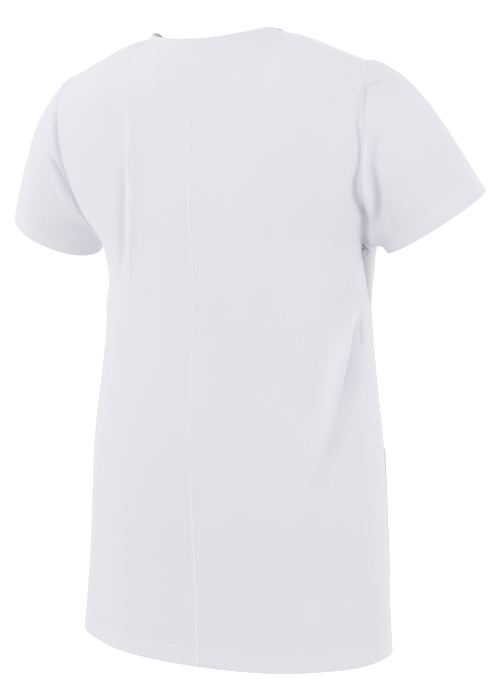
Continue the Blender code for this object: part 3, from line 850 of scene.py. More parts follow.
@dataclass
class ClothForm:
    """The whole garment as fine patches with folds and sewing: back, front and two sleeves."""

    torso: TorsoForm
    sleeves: dict[Side, SleeveForm]
    sewing: Sewing
    step: float = 0.0042
    smoothing_rounds: int = 2
    smoothing_factor: float = 0.5
    pocket_top_height: float = -0.505
    pocket_bottom_height: float = -0.665
    pocket_columns: tuple[int, int] = (5, 16)
    crisp_columns: tuple[float, float] = (6.3, 9.4)
    crisp_step: float = 0.0013
    least_step: float = 0.0004
    edge_zone: float = 0.024
    edge_step: float = 0.0017
    sleeve_zone: float = 0.042
    zone_start: float = 0.003
    join_columns: float = 4.0
    armhole_blend: tuple[float, float] = (-0.010, 0.030)
    back: Patch | None = None
    front: Patch | None = None
    sleeve: dict[Side, Patch] = field(default_factory=dict)
    armholes: dict[Side, tuple[np.ndarray, np.ndarray]] = field(default_factory=dict)
    row_stops: dict[Half, np.ndarray] = field(default_factory=dict)
    column_stops: np.ndarray | None = None
    pocket_edges: tuple[float, ...] = ()
    neck_end: float = 0.0
    side_stop: float = 0.0
    side_row: int = 0
    yoke_row: int = 0
    yoke_stop: float = 0.0

    def smoothed_cages(self) -> dict[Half, np.ndarray]:
        """Shape both halves coarsely, join them at their seams and even them out.

        Returns:
            The coarse rows by columns of points of each half.
        """
        cages = {half: self.torso.cage(half) for half in Half}
        joined = bmesh.new()
        placed = {}
        for half, cage in cages.items():
            rows, columns = cage.shape[0] - 1, cage.shape[1] - 1
            made = bmesh.ops.create_grid(joined, x_segments=columns, y_segments=rows, size=0.5)
            for vert in made["verts"]:
                at = (round((vert.co.y + 0.5) * rows), round((vert.co.x + 0.5) * columns))
                placed[half, at] = vert
                vert.co = cage[at]
        twins = bmesh.ops.find_doubles(joined, verts=joined.verts, dist=WELD_DISTANCE)["targetmap"]
        placed = {key: twins.get(vert, vert) for key, vert in placed.items()}
        bmesh.ops.weld_verts(joined, targetmap=twins)
        inner = [vert for vert in joined.verts if not vert.is_boundary]
        for _ in range(self.smoothing_rounds):
            bmesh.ops.smooth_vert(
                joined,
                verts=inner,
                factor=self.smoothing_factor,
                use_axis_x=True,
                use_axis_y=True,
                use_axis_z=True,
            )
        for (half, at), vert in placed.items():
            cages[half][at] = tuple(vert.co)
        joined.free()
        return cages

    def seam_lines(self, at: float, low: bool = True, high: bool = True) -> list[float]:
        """Rows or columns at a seam, and close beside it on its low or high side."""
        offsets = self.sewing.beside()
        below = [at - d for d in offsets] if low else []
        above = [at + d for d in offsets] if high else []
        return below + above

    def build(self) -> None:
        """Samples the torso and the sleeves finely, then lays folds and sewing on them."""
        cages = self.smoothed_cages()
        first = self.torso.body_rows
        last_level = {half: first + len(ARMHOLES[half]) - 1 for half in Half}
        gaps = {h: np.linalg.norm(np.diff(c, axis=0), axis=-1).mean(1) for h, c in cages.items()}
        below = (gaps[Half.BACK][:first] + gaps[Half.FRONT][:first]) / 2
        row_knots = {h: running([*below, *gaps[h][first:]]) for h in Half}
        widths = [np.linalg.norm(np.diff(c, axis=1), axis=-1).mean(0) for c in cages.values()]
        column_knots = running((widths[0] + widths[1]) / 2)
        middle = self.torso.half_columns
        column_knots -= column_knots[middle]
        self.pocket_edges = tuple(column_knots[middle + at] for at in self.pocket_columns)
        self.neck_end = column_knots[middle + self.torso.neck_columns]
        crisp = np.interp(self.crisp_columns, range(middle + 1), column_knots[middle:])
        self.column_stops = self.columns(column_knots[-1], *crisp)
        for half in Half:
            lines = self.row_lines(half, row_knots[half], first, last_level[half])
            self.row_stops[half] = stops_through(lines, self.step)
        fine = {}
        for half, cage in cages.items():
            down = curve_weights(row_knots[half], self.row_stops[half])
            over = curve_weights(column_knots, self.column_stops)
            fine[half] = np.einsum("ri,ijk,cj->rck", down, cage, over)
        self.side_stop = row_knots[Half.BACK][first]
        self.yoke_stop = row_knots[Half.BACK][last_level[Half.BACK]]
        self.side_row, self.yoke_row = (
            int(np.searchsorted(self.row_stops[Half.BACK], stop - ROUNDING))
            for stop in (self.side_stop, self.yoke_stop)
        )
        self.join_sides(fine)
        self.back = self.torso_patch(Half.BACK, fine[Half.BACK])
        self.front = self.torso_patch(Half.FRONT, fine[Half.FRONT])
        for side in Side:
            self.armholes[side] = self.armhole(side)
            self.sleeve[side] = self.sleeve_patch(side)
        self.lay_folds_and_sewing()

    def row_lines(self, half: Half, knots: np.ndarray, first: int, last_level: int) -> list[float]:
        """List the rows that a half needs, from the hem to the shoulder.

        Args:
            half: the back or the front.
            knots: the coarse rows' places along the half.
            first: the coarse row at the underarm.
            last_level: the coarse row at the top of the level rows.

        Returns:
            Places along the half, in metres from the hem.
        """
        sewing = self.sewing
        lines = [0.0, sewing.groove_width, knots[first]]
        stitch = sewing.hem_depth
        lines += [stitch - sewing.stitch_width, stitch, stitch + sewing.stitch_width]
        rise = (self.torso.underarm_height - HEM_HEIGHT) / knots[first]
        for height in (self.pocket_bottom_height, self.pocket_top_height):
            lines.append((height - HEM_HEIGHT) / rise)
        if half is Half.BACK:
            lines += self.seam_lines(knots[last_level])
        return lines + self.seam_lines(knots[-1], high=False)

    def columns(self, edge: float, crisp_start: float, crisp_end: float) -> np.ndarray:
        """List the columns that both halves share, closer together where folds are narrow.

        Args:
            edge: the left side seam's place; the right one lies as far on the other side.
            crisp_start: where the crisp line down the left of the back begins.
            crisp_end: where it ends.

        Returns:
            The columns from the right side seam to the left one, in metres from the middle.
        """
        lines = self.seam_lines(edge, high=False) + self.seam_lines(0.0)
        turned, fade = self.sewing.allowance, self.sewing.allowance_fade
        lines += [turned - fade, turned, turned + fade]
        lines += [*self.pocket_edges, self.neck_end]
        lines += [-line for line in lines]
        close = np.arange(edge - self.edge_zone, edge - self.zone_start, self.edge_step)
        for line in (*close, *-close, *np.arange(crisp_start, crisp_end, self.crisp_step)):
            if min(abs(line - other) for other in lines) > self.least_step:
                lines.append(line)
        return stops_through(lines, self.step)

    def join_sides(self, fine: dict[Half, np.ndarray]) -> None:
        """Brings the front's edges exactly onto the back's down both side seams."""
        rows = self.side_row + 1
        fade = np.exp(-np.arange(fine[Half.FRONT].shape[1]) / self.join_columns)[None, :, None]
        for order in (slice(None), slice(None, None, -1)):
            front, back = fine[Half.FRONT][:rows, order], fine[Half.BACK][:rows, order]
            front += (back[:, :1] - front[:, :1]) * fade

    def torso_patch(self, half: Half, points: np.ndarray) -> Patch:
        """Make a half's patch with the lifts of its seams and hem.

        Args:
            half: the back or the front.
            points: its fine points.

        Returns:
            The patch.
        """
        sewing = self.sewing
        across, along = np.meshgrid(self.column_stops, self.row_stops[half])
        from_side, from_top = across.max() - np.abs(across), along.max() - along
        painted_light = np.zeros_like(across)
        above = ramp(along, *(self.side_stop + offset for offset in self.armhole_blend))
        edge_depth = sewing.side_groove + (sewing.armhole_groove - sewing.side_groove) * above
        lift = sewing.groove(from_side, 1.0) * edge_depth
        beyond_neck = ramp(np.abs(across), self.neck_end - 0.001, self.neck_end + 0.001)
        lift = np.minimum(lift, sewing.groove(from_top, sewing.shoulder_groove) * beyond_neck)
        layers = (1 - sewing.beyond(along, sewing.hem_depth)) * sewing.hem_layers
        if half is Half.BACK:
            below_yoke = 1 - ramp(along, self.yoke_stop - 0.001, self.yoke_stop)
            centre = sewing.groove(across + sewing.groove_width * 0.6, sewing.centre_groove)
            pressed = bump(across - sewing.groove_width, sewing.groove_width) * below_yoke
            centre += sewing.centre_ridge * pressed
            lift += centre * below_yoke
            lift = np.minimum(lift, sewing.groove(along - self.yoke_stop, sewing.yoke_groove))
            band = ramp(across, 0.0, 0.0012)
            fade = sewing.allowance_fade
            band *= 1 - ramp(across, sewing.allowance - fade, sewing.allowance + fade)
            lift += sewing.allowance_lift * band * below_yoke
            yoke = ramp(along, self.yoke_stop, self.yoke_stop + 0.0015)
            layers = np.maximum(layers, yoke * sewing.yoke_layers)
            # painted highlight along the pressed edge beside the centre back seam
            painted_light = pressed * sewing.edge_painted_highlight
        lift += sewing.layer_lift * layers / sewing.hem_layers
        # the painted highlight goes into the cloth's tone together with its layers
        layers = layers + painted_light
        lift += sewing.stitched(along - sewing.hem_depth, across)
        from_corner = np.hypot(np.abs(across) - self.neck_end, from_top)
        points[..., 2] -= sewing.corner_sink * bump(from_corner, sewing.corner_width)
        grain = np.stack((across, along), axis=-1)
        return Patch(points, grain, lift, layers, reverse=half is Half.BACK)

    def armhole(self, side: Side) -> tuple[np.ndarray, np.ndarray]:
        """Follow an armhole from the shoulder down the back and up the front.

        Args:
            side: the wearer's left or right.

        Returns:
            Its points, and their turns from 0 at the shoulder, by 180 under the arm, to 360.
        """
        edge = -1 if side is Side.LEFT else 0
        down_back = self.back.points[self.side_row :, edge][::-1]
        up_front = self.front.points[self.side_row :, edge]
        turns = []
        for part, start in ((down_back, 0.0), (up_front, 180.0)):
            lengths = lengths_along(part)
            turns.append(start + 180 * lengths / lengths[-1])
        points = np.concatenate((down_back, up_front[1:]))
        return points, np.concatenate((turns[0], turns[1][1:]))

    def sleeve_patch(self, side: Side) -> Patch:
        """Make a sleeve's patch, from the armhole to the cuff, with its seams and hem.

        Args:
            side: the wearer's left or right.

        Returns:
            The patch, closed round the arm: its last column lies on its first.
        """
        sewing, form = self.sewing, self.sleeves[side]
        starts, turns = self.armholes[side]
        reaches = [(form.cuff(turn) - Vector(start)).length for start, turn in zip(starts, turns)]
        length = sum(reaches) / len(reaches)
        stitch = length - sewing.cuff_depth
        lines = self.seam_lines(0.0, low=False) + [length - sewing.groove_width, length]
        lines += [stitch - sewing.stitch_width, stitch, stitch + sewing.stitch_width]
        lines += list(np.arange(self.zone_start, self.sleeve_zone, self.edge_step))
        stops = stops_through(lines, self.step)
        columns = [(Vector(start), turn) for start, turn in zip(starts, turns)]
        places = [[tuple(form.place(*column, stop / length)) for column in columns] for stop in stops]
        points = np.array(places)
        points[0] = starts
        points[:, -1] = points[:, 0]
        around = running(np.linalg.norm(np.diff(points, axis=1), axis=-1).mean(0))
        under = float(np.interp(180.0, turns, around))
        across, along = np.meshgrid(around, stops)
        lift = sewing.groove(along, sewing.armhole_groove)
        lift = np.minimum(lift, sewing.groove(across - under, sewing.side_groove) * ramp(along, 0, 0.002))
        lift += sewing.roll_lift * bump(along - sewing.roll_place, sewing.roll_width)
        turned = sewing.beyond(along, stitch)
        layers = turned * sewing.hem_layers
        lift += sewing.layer_lift * turned + sewing.stitched(along - stitch, across)
        grain = np.stack((across, along), axis=-1)
        return Patch(points, grain, lift, layers, reverse=side is Side.LEFT)

    def creasing(self, normals: list[np.ndarray]) -> Creasing:
        """Lay the paths of all folds on the cloth.

        Args:
            normals: each patch's normals.

        Returns:
            The folds of the torso and of both sleeves, on their paths in space.
        """
        paths = [(fold, [self.torso.place(*at) for at in fold.path]) for fold in TORSO_FOLDS]
        for side in Side:
            for fold in SLEEVE_FOLDS[side]:
                paths.append((fold, [self.sleeve_place(side, *at) for at in fold.path]))
        places = np.concatenate([patch.points.reshape(-1, 3) for patch in self.patches()])
        outs = np.concatenate([normal.reshape(-1, 3) for normal in normals])
        return Creasing([(fold, laid_on(np.array(path), places, outs)) for fold, path in paths])

    def sleeve_place(self, side: Side, turn_deg: float, along: float) -> Vector:
        """Find a point of a sleeve.

        Args:
            side: the wearer's left or right.
            turn_deg: the turn round the sleeve: 0 at the top, 90 at the back, 180 under the arm.
            along: the share of the way from the armhole to the cuff.

        Returns:
            The point.
        """
        starts, turns = self.armholes[side]
        turn = turn_deg % 360
        start = Vector([float(np.interp(turn, turns, starts[:, k])) for k in range(3)])
        return self.sleeves[side].place(start, turn, along)

    def patches(self) -> list[Patch]:
        """Every patch of the garment."""
        return [self.back, self.front, *(self.sleeve[side] for side in Side)]

    def lay_folds_and_sewing(self) -> None:
        """Moves every patch's points out along the shared normals, folds first and sewing after."""
        patches = self.patches()
        normals = share_along_seams(patches, [p.own_normals() for p in patches])
        creasing = self.creasing(normals)
        folded = share_along_seams(patches, [creasing.lift_and_painted_light(p.points) for p in patches])
        for patch, normal, fold in zip(patches, normals, folded):
            patch.points = patch.points + normal * fold[..., :1]
            # the folds' painted highlight and painted shade go into the cloth's tone
            patch.layers = patch.layers + fold[..., 1]
        normals = share_along_seams(patches, [p.own_normals() for p in patches])
        lifts = share_along_seams(patches, [p.lift for p in patches])
        for patch, normal, lift in zip(patches, normals, lifts):
            patch.points = patch.points + normal * lift[..., None]
            patch.normals = normal / np.linalg.norm(normal, axis=-1, keepdims=True)


# ---------------------------------------------------------------- finishes


def new_group(name: str, outputs: Sequence[str]) -> bpy.types.NodeTree:
    """Start a shader node group that takes a place and gives numbers.

    Args:
        name: the group's name.
        outputs: the names of its number outputs.

    Returns:
        The group, with its group input and output nodes.
    """
    group = bpy.data.node_groups.new(name, "ShaderNodeTree")
    group.interface.new_socket("Place", in_out="INPUT", socket_type="NodeSocketVector")
    for output in outputs:
        group.interface.new_socket(output, in_out="OUTPUT", socket_type="NodeSocketFloat")
    group.nodes.new("NodeGroupInput")
    group.nodes.new("NodeGroupOutput")
    return group


def math_node(
    tree: bpy.types.NodeTree, operation: str, first: object, second: object = 0.0
) -> bpy.types.NodeSocket:
    """Add a math node.

    Args:
        tree: the node tree.
        operation: Blender's name of the operation.
        first: a socket or a number.
        second: a socket or a number.

    Returns:
        The node's output.
    """
    node = tree.nodes.new("ShaderNodeMath")
    node.operation = operation
    for socket, value in zip(node.inputs, (first, second)):
        if isinstance(value, bpy.types.NodeSocket):
            tree.links.new(value, socket)
        else:
            socket.default_value = value
    return node.outputs[0]


def noise_node(
    tree: bpy.types.NodeTree,
    place: bpy.types.NodeSocket,
    scale: tuple[float, float, float],
    detail: float,
) -> bpy.types.NodeSocket:
    """Add a noise, stretched by a scale along each axis.

    Args:
        tree: the node tree.
        place: the place to read it at.
        scale: how many waves a metre holds along each axis.
        detail: how many finer octaves it has.

    Returns:
        The noise's number, near 0.5.
    """
    stretch = tree.nodes.new("ShaderNodeMapping")
    stretch.inputs["Scale"].default_value = scale
    tree.links.new(place, stretch.inputs["Vector"])
    texture = tree.nodes.new("ShaderNodeTexNoise")
    texture.inputs["Scale"].default_value = 1.0
    texture.inputs["Detail"].default_value = detail
    tree.links.new(stretch.outputs["Vector"], texture.inputs["Vector"])
    return texture.outputs["Fac"]


def new_material(
    name: str, roughness: float
) -> tuple[bpy.types.Material, bpy.types.NodeTree, bpy.types.Node]:
    """Start a material.

    Args:
        name: its name.
        roughness: its roughness.

    Returns:
        The material, its node tree and its main shader.
    """
    material = bpy.data.materials.new(name)
    material.use_nodes = True
    shader = material.node_tree.nodes["Principled BSDF"]
    shader.inputs["Roughness"].default_value = roughness
    return material, material.node_tree, shader


def add_relief(
    tree: bpy.types.NodeTree, height: bpy.types.NodeSocket, strength: float, depth: float
) -> None:
    """Shades a fine relief.

    Args:
        tree: the material's node tree.
        height: the relief's height.
        strength: how much of it shows, from 0 to 1.
        depth: the depth that a height of 1 stands for, in metres.
    """
    relief = tree.nodes.new("ShaderNodeBump")
    relief.inputs["Strength"].default_value = strength
    relief.inputs["Distance"].default_value = depth
    tree.links.new(height, relief.inputs["Height"])
    tree.links.new(relief.outputs["Normal"], tree.nodes["Principled BSDF"].inputs["Normal"])


def split_by_ray(
    tree: bpy.types.NodeTree, lit: bpy.types.Node, seen: bpy.types.Node, out: bpy.types.Node
) -> None:
    """Lets the camera see one shader while another lights the scene.

    Args:
        tree: the node tree.
        lit: the shader that lights the scene.
        seen: the shader that the camera sees.
        out: the tree's output node.
    """
    rays, mix = tree.nodes.new("ShaderNodeLightPath"), tree.nodes.new("ShaderNodeMixShader")
    tree.links.new(rays.outputs["Is Camera Ray"], mix.inputs["Fac"])
    tree.links.new(lit.outputs[0], mix.inputs[1])
    tree.links.new(seen.outputs[0], mix.inputs[2])
    tree.links.new(mix.outputs[0], out.inputs["Surface"])


def finished_mesh(name: str, shape: bmesh.types.BMesh) -> bpy.types.Mesh:
    """A mesh of a shape, which is freed."""
    mesh = bpy.data.meshes.new(name)
    shape.to_mesh(mesh)
    shape.free()
    return mesh


def put_in_scene(name: str, data: bpy.types.ID) -> bpy.types.Object:
    """An object of some data, in the scene."""
    made = bpy.data.objects.new(name, data)
    bpy.context.scene.collection.objects.link(made)
    return made


@dataclass(frozen=True)
class Polycotton:
    """White polyester and cotton in a fine plain weave, a little cool, matt with a soft sheen."""

    name: str = "white_polycotton"
    single: Colour = (0.755, 0.750, 0.800, 1.0)
    doubled: Colour = (0.800, 0.796, 0.845, 1.0)
    roughness: float = 0.86
    sheen: float = 0.50
    sheen_roughness: float = 0.45
    thread_pitch: float = 0.00038
    weave_height_mm: float = 0.030
    slub_height_mm: float = 0.022
    rumple_height_mm: float = 0.35
    relief_strength: float = 0.6
    specular: float = 0.25
    clouding: float = 0.5
    thread_tone: float = 0.35
    slub_size: tuple[float, float] = (0.0011, 0.050)
    fine_size: tuple[float, float] = (0.020, 0.034)
    broad_size: tuple[float, float] = (0.09, 0.16)

    def weave(self) -> bpy.types.NodeTree:
        """Make the group of the threads: their height, and their uneven tone.

        Returns:
            The group, made once. It takes the place along the grain in metres.
        """
        if "plain_weave" in bpy.data.node_groups:
            return bpy.data.node_groups["plain_weave"]
        group = new_group("plain_weave", ("Height", "Tone"))
        entry, leave = group.nodes["Group Input"], group.nodes["Group Output"]
        place = entry.outputs["Place"]
        split = group.nodes.new("ShaderNodeSeparateXYZ")
        group.links.new(place, split.inputs[0])
        waves = []
        for axis in ("X", "Y"):
            turn = math_node(group, "MULTIPLY", split.outputs[axis], math.pi / self.thread_pitch)
            waves.append(math_node(group, "SINE", turn))
        crossing = math_node(group, "MULTIPLY", waves[0], waves[1])
        threads = math_node(group, "MULTIPLY", crossing, self.weave_height_mm)
        thick, long = self.slub_size
        warp = noise_node(group, place, (1 / thick, 1 / long, 1.0), 1.0)
        weft = noise_node(group, place, (1 / long, 1 / thick, 1.0), 1.0)
        slub = math_node(group, "ADD", warp, weft)
        raised = math_node(group, "MULTIPLY", slub, self.slub_height_mm)
        group.links.new(math_node(group, "ADD", threads, raised), leave.inputs["Height"])
        group.links.new(math_node(group, "SUBTRACT", slub, 1.0), leave.inputs["Tone"])
        return group

    def rumple(self) -> bpy.types.NodeTree:
        """Make the group of the cloth's faint creasing and clouding over some centimetres.

        Returns:
            The group, made once. It takes the place in the object, in metres.
        """
        if "soft_rumple" in bpy.data.node_groups:
            return bpy.data.node_groups["soft_rumple"]
        group = new_group("soft_rumple", ("Height", "Tone"))
        entry, leave = group.nodes["Group Input"], group.nodes["Group Output"]
        place = entry.outputs["Place"]
        (narrow, low), (wide, tall) = self.fine_size, self.broad_size
        fine = noise_node(group, place, (1 / narrow, 1 / narrow, 1 / low), 3.0)
        broad = noise_node(group, place, (1 / wide, 1 / wide, 1 / tall), 2.0)
        group.links.new(math_node(group, "MULTIPLY", fine, self.rumple_height_mm), leave.inputs["Height"])
        group.links.new(math_node(group, "SUBTRACT", broad, 0.5), leave.inputs["Tone"])
        return group

    def material(self) -> bpy.types.Material:
        """Make the cloth's material.

        Returns:
            The material, made once.
        """
        if self.name in bpy.data.materials:
            return bpy.data.materials[self.name]
        material, tree, shader = new_material(self.name, self.roughness)
        shader.inputs["Sheen Weight"].default_value = self.sheen
        shader.inputs["Sheen Roughness"].default_value = self.sheen_roughness
        shader.inputs["Specular IOR Level"].default_value = self.specular
        grain = tree.nodes.new("ShaderNodeUVMap")
        grain.uv_map = "grain"
        place = tree.nodes.new("ShaderNodeTexCoord")
        weave = tree.nodes.new("ShaderNodeGroup")
        weave.node_tree = self.weave()
        tree.links.new(grain.outputs["UV"], weave.inputs["Place"])
        rumple = tree.nodes.new("ShaderNodeGroup")
        rumple.node_tree = self.rumple()
        tree.links.new(place.outputs["Object"], rumple.inputs["Place"])
        height = math_node(tree, "ADD", weave.outputs["Height"], rumple.outputs["Height"])
        add_relief(tree, height, self.relief_strength, MILLIMETRE)
        # the attribute holds the layers of cloth plus painted highlight and painted shade; the colour
        # runs from single to doubled cloth and past both ends, so painted shade is darker than single
        # cloth
        layers = tree.nodes.new("ShaderNodeAttribute")
        layers.attribute_name = "layers"
        clouds = math_node(tree, "MULTIPLY", rumple.outputs["Tone"], self.clouding)
        threads = math_node(tree, "MULTIPLY", weave.outputs["Tone"], self.thread_tone)
        uneven = math_node(tree, "ADD", clouds, threads)
        share = math_node(tree, "ADD", layers.outputs["Fac"], uneven)
        colour = tree.nodes.new("ShaderNodeMix")
        colour.data_type = "RGBA"
        colour.clamp_factor = False
        colour.inputs["A"].default_value = self.single
        colour.inputs["B"].default_value = self.doubled
        tree.links.new(share, colour.inputs["Factor"])
        tree.links.new(colour.outputs["Result"], shader.inputs["Base Color"])
        return material


@dataclass(frozen=True)
class SewingThread:
    """White polyester thread, with the slight shine of its twist."""

    name: str = "white_thread"
    colour: Colour = (0.88, 0.88, 0.91, 1.0)
    roughness: float = 0.55
    sheen: float = 0.1
    twist_pitch: float = 0.0006
    relief_strength: float = 0.4
    relief_depth: float = 0.0001

    def material(self) -> bpy.types.Material:
        """Make the thread's material.

        Returns:
            The material, made once.
        """
        if self.name in bpy.data.materials:
            return bpy.data.materials[self.name]
        material, tree, shader = new_material(self.name, self.roughness)
        shader.inputs["Base Color"].default_value = self.colour
        shader.inputs["Sheen Weight"].default_value = self.sheen
        place = tree.nodes.new("ShaderNodeTexCoord")
        split = tree.nodes.new("ShaderNodeSeparateXYZ")
        tree.links.new(place.outputs["Object"], split.inputs[0])
        slant = math_node(tree, "ADD", split.outputs["X"], split.outputs["Z"])
        turn = math_node(tree, "MULTIPLY", slant, 2 * math.pi / self.twist_pitch)
        add_relief(tree, math_node(tree, "SINE", turn), self.relief_strength, self.relief_depth)
        return material


# ---------------------------------------------------------------- pieces


@dataclass
class ClothPiece:
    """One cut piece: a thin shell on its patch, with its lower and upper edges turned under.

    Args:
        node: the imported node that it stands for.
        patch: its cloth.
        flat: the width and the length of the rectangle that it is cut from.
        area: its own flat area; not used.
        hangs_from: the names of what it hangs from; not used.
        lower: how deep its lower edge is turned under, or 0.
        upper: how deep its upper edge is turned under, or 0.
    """

    node: str
    patch: Patch
    flat: tuple[float, float]
    area: float
    hangs_from: tuple[str, ...]
    lower: float = 0.0
    upper: float = 0.0
    thickness: float = 0.0006
    slack: float = 0.0002
    fold_steps: int = 3

    def turned(self, patch: Patch, depth: float) -> Patch:
        """Turn a patch's first row under.

        Args:
            patch: the patch.
            depth: how far the turned part reaches back under the cloth.

        Returns:
            The patch with the turned rows in front of its own.
        """
        under = 2 * self.thickness + self.slack
        along = np.abs(patch.grain[:, 0, 1] - patch.grain[0, 0, 1])
        count = int(np.searchsorted(along, depth + ROUNDING))
        rows = [patch.points[k] - patch.normals[k] * under for k in range(count - 1, -1, -1)]
        off = patch.points[0] - patch.points[1]
        off /= np.linalg.norm(off, axis=-1, keepdims=True)
        for step in range(self.fold_steps, 0, -1):
            turn = math.pi * step / (self.fold_steps + 1)
            inwards = under / 2 * (1 - math.cos(turn))
            rows.append(patch.points[0] - patch.normals[0] * inwards + off * (under / 2 * math.sin(turn)))
        extra = len(rows)
        indices = list(range(count - 1, -1, -1)) + [0] * self.fold_steps
        grain = patch.grain[indices].copy()
        first = patch.grain[0, 0, 1]
        grain[..., 1] = 2 * first - grain[..., 1]
        return Patch(
            np.concatenate((np.array(rows), patch.points)),
            np.concatenate((grain, patch.grain)),
            np.concatenate((np.zeros((extra, patch.lift.shape[1])), patch.lift)),
            np.concatenate((patch.layers[indices], patch.layers)),
            patch.reverse,
            np.concatenate((patch.normals[indices], patch.normals)),
        )

    def build(self) -> bpy.types.Object:
        """Make the piece's mesh and its shell.

        Returns:
            The object, at the origin.
        """
        patch = self.patch
        if self.lower:
            patch = self.turned(patch, self.lower)
        if self.upper:
            patch = self.turned(patch.upside_down(), self.upper).upside_down()
        name = f"cloth_{self.node}"
        piece = put_in_scene(name, sheet_mesh(name, patch))
        shell = piece.modifiers.new("cloth_thickness", "SOLIDIFY")
        shell.thickness = self.thickness
        shell.offset = -1.0
        shell.use_rim = True
        return piece

    def dress(self, piece: bpy.types.Object, finish: Polycotton) -> None:
        """Gives the piece its cloth and says what it stands for."""
        piece.data.materials.append(finish.material())
        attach(piece, BODY)
        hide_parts(self.node)
        LOG.info("%s: %d faces, cut from %.2f x %.2f m", self.node, len(piece.data.polygons), *self.flat)


def sheet_mesh(name: str, patch: Patch) -> bpy.types.Mesh:
    """Make the mesh of a patch.

    Args:
        name: the mesh's name.
        patch: the patch.

    Returns:
        The mesh, with its grain as a UV map, and its layers with their painted highlight and painted
        shade as an attribute.
    """
    rows, columns = patch.points.shape[0] - 1, patch.points.shape[1] - 1
    sheet = bmesh.new()
    bmesh.ops.create_grid(sheet, x_segments=columns, y_segments=rows, size=0.5)
    if patch.reverse:
        bmesh.ops.reverse_faces(sheet, faces=sheet.faces)
    mesh = finished_mesh(name, sheet)
    even = np.empty(len(mesh.vertices) * 3)
    mesh.vertices.foreach_get("co", even)
    at = np.rint((even.reshape(-1, 3)[:, :2] + 0.5) * (columns, rows)).astype(int)
    order = at[:, 1] * (columns + 1) + at[:, 0]
    mesh.vertices.foreach_set("co", patch.points.reshape(-1, 3)[order].ravel())
    corners = np.empty(len(mesh.loops), int)
    mesh.loops.foreach_get("vertex_index", corners)
    grain = mesh.uv_layers.new(name="grain")
    grain.data.foreach_set("uv", patch.grain.reshape(-1, 2)[order][corners].ravel())
    # layers of cloth, with the painted highlight and painted shade of folds and pressed edges
    layers = mesh.attributes.new("layers", "FLOAT", "POINT")
    layers.data.foreach_set("value", patch.layers.ravel()[order])
    mesh.shade_smooth()
    mesh.update()
    return mesh


@dataclass
class StitchRow:
    """A row of straight stitches along a line of cloth points.

    Args:
        points: the points that the row follows, on the cloth's outer face.
        normals: the cloth's normals there.
    """

    points: np.ndarray
    normals: np.ndarray
    pitch: float = 0.0030
    stitch_length: float = 0.0023
    thread_width: float = 0.00042
    thread_height: float = 0.00024
    stand_off: float = 0.00008

    def places(self) -> list[Matrix]:
        """Work out where each stitch lies.

        Returns:
            A matrix for each: X along the row, Z off the cloth.
        """
        along = lengths_along(self.points)
        count = max(1, int(along[-1] / self.pitch))
        found = []
        for k in range(count):
            stop = (k + 0.5) * along[-1] / count
            ends = [stop - self.stitch_length / 2, stop + self.stitch_length / 2]
            a, b = ([np.interp(end, along, self.points[:, i]) for i in range(3)] for end in ends)
            out = Vector([np.interp(stop, along, self.normals[:, i]) for i in range(3)]).normalized()
            forward = (Vector(b) - Vector(a)).normalized()
            out = (out - forward * forward.dot(out)).normalized()
            turn = Matrix((forward, out.cross(forward), out)).transposed().to_4x4()
            found.append(Matrix.Translation((Vector(a) + Vector(b)) / 2 + out * self.stand_off) @ turn)
        return found

    def add_to(self, threads: bmesh.types.BMesh) -> None:
        """Adds each stitch as a small rounded bead of thread, low at its ends."""
        size = Matrix.Diagonal((self.stitch_length / 2, self.thread_width / 2, self.thread_height / 2, 1))
        for place in self.places():
            bead = place @ size
            bmesh.ops.create_uvsphere(threads, u_segments=6, v_segments=4, radius=1.0, matrix=bead)


@dataclass
class Stitching:
    """All rows of stitches of one part of the garment, as one piece."""

    name: str
    rows: list[StitchRow]

    def build(self) -> bpy.types.Object:
        """Make the stitches.

        Returns:
            The object, at the origin.
        """
        threads = bmesh.new()
        for row in self.rows:
            row.add_to(threads)
        mesh = finished_mesh(self.name, threads)
        mesh.shade_smooth()
        return put_in_scene(self.name, mesh)

    def dress(self, piece: bpy.types.Object, finish: SewingThread) -> None:
        """Gives the stitches their thread."""
        piece.data.materials.append(finish.material())
        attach(piece, BODY)
        LOG.info("%s: %d rows, %d faces", self.name, len(self.rows), len(piece.data.polygons))


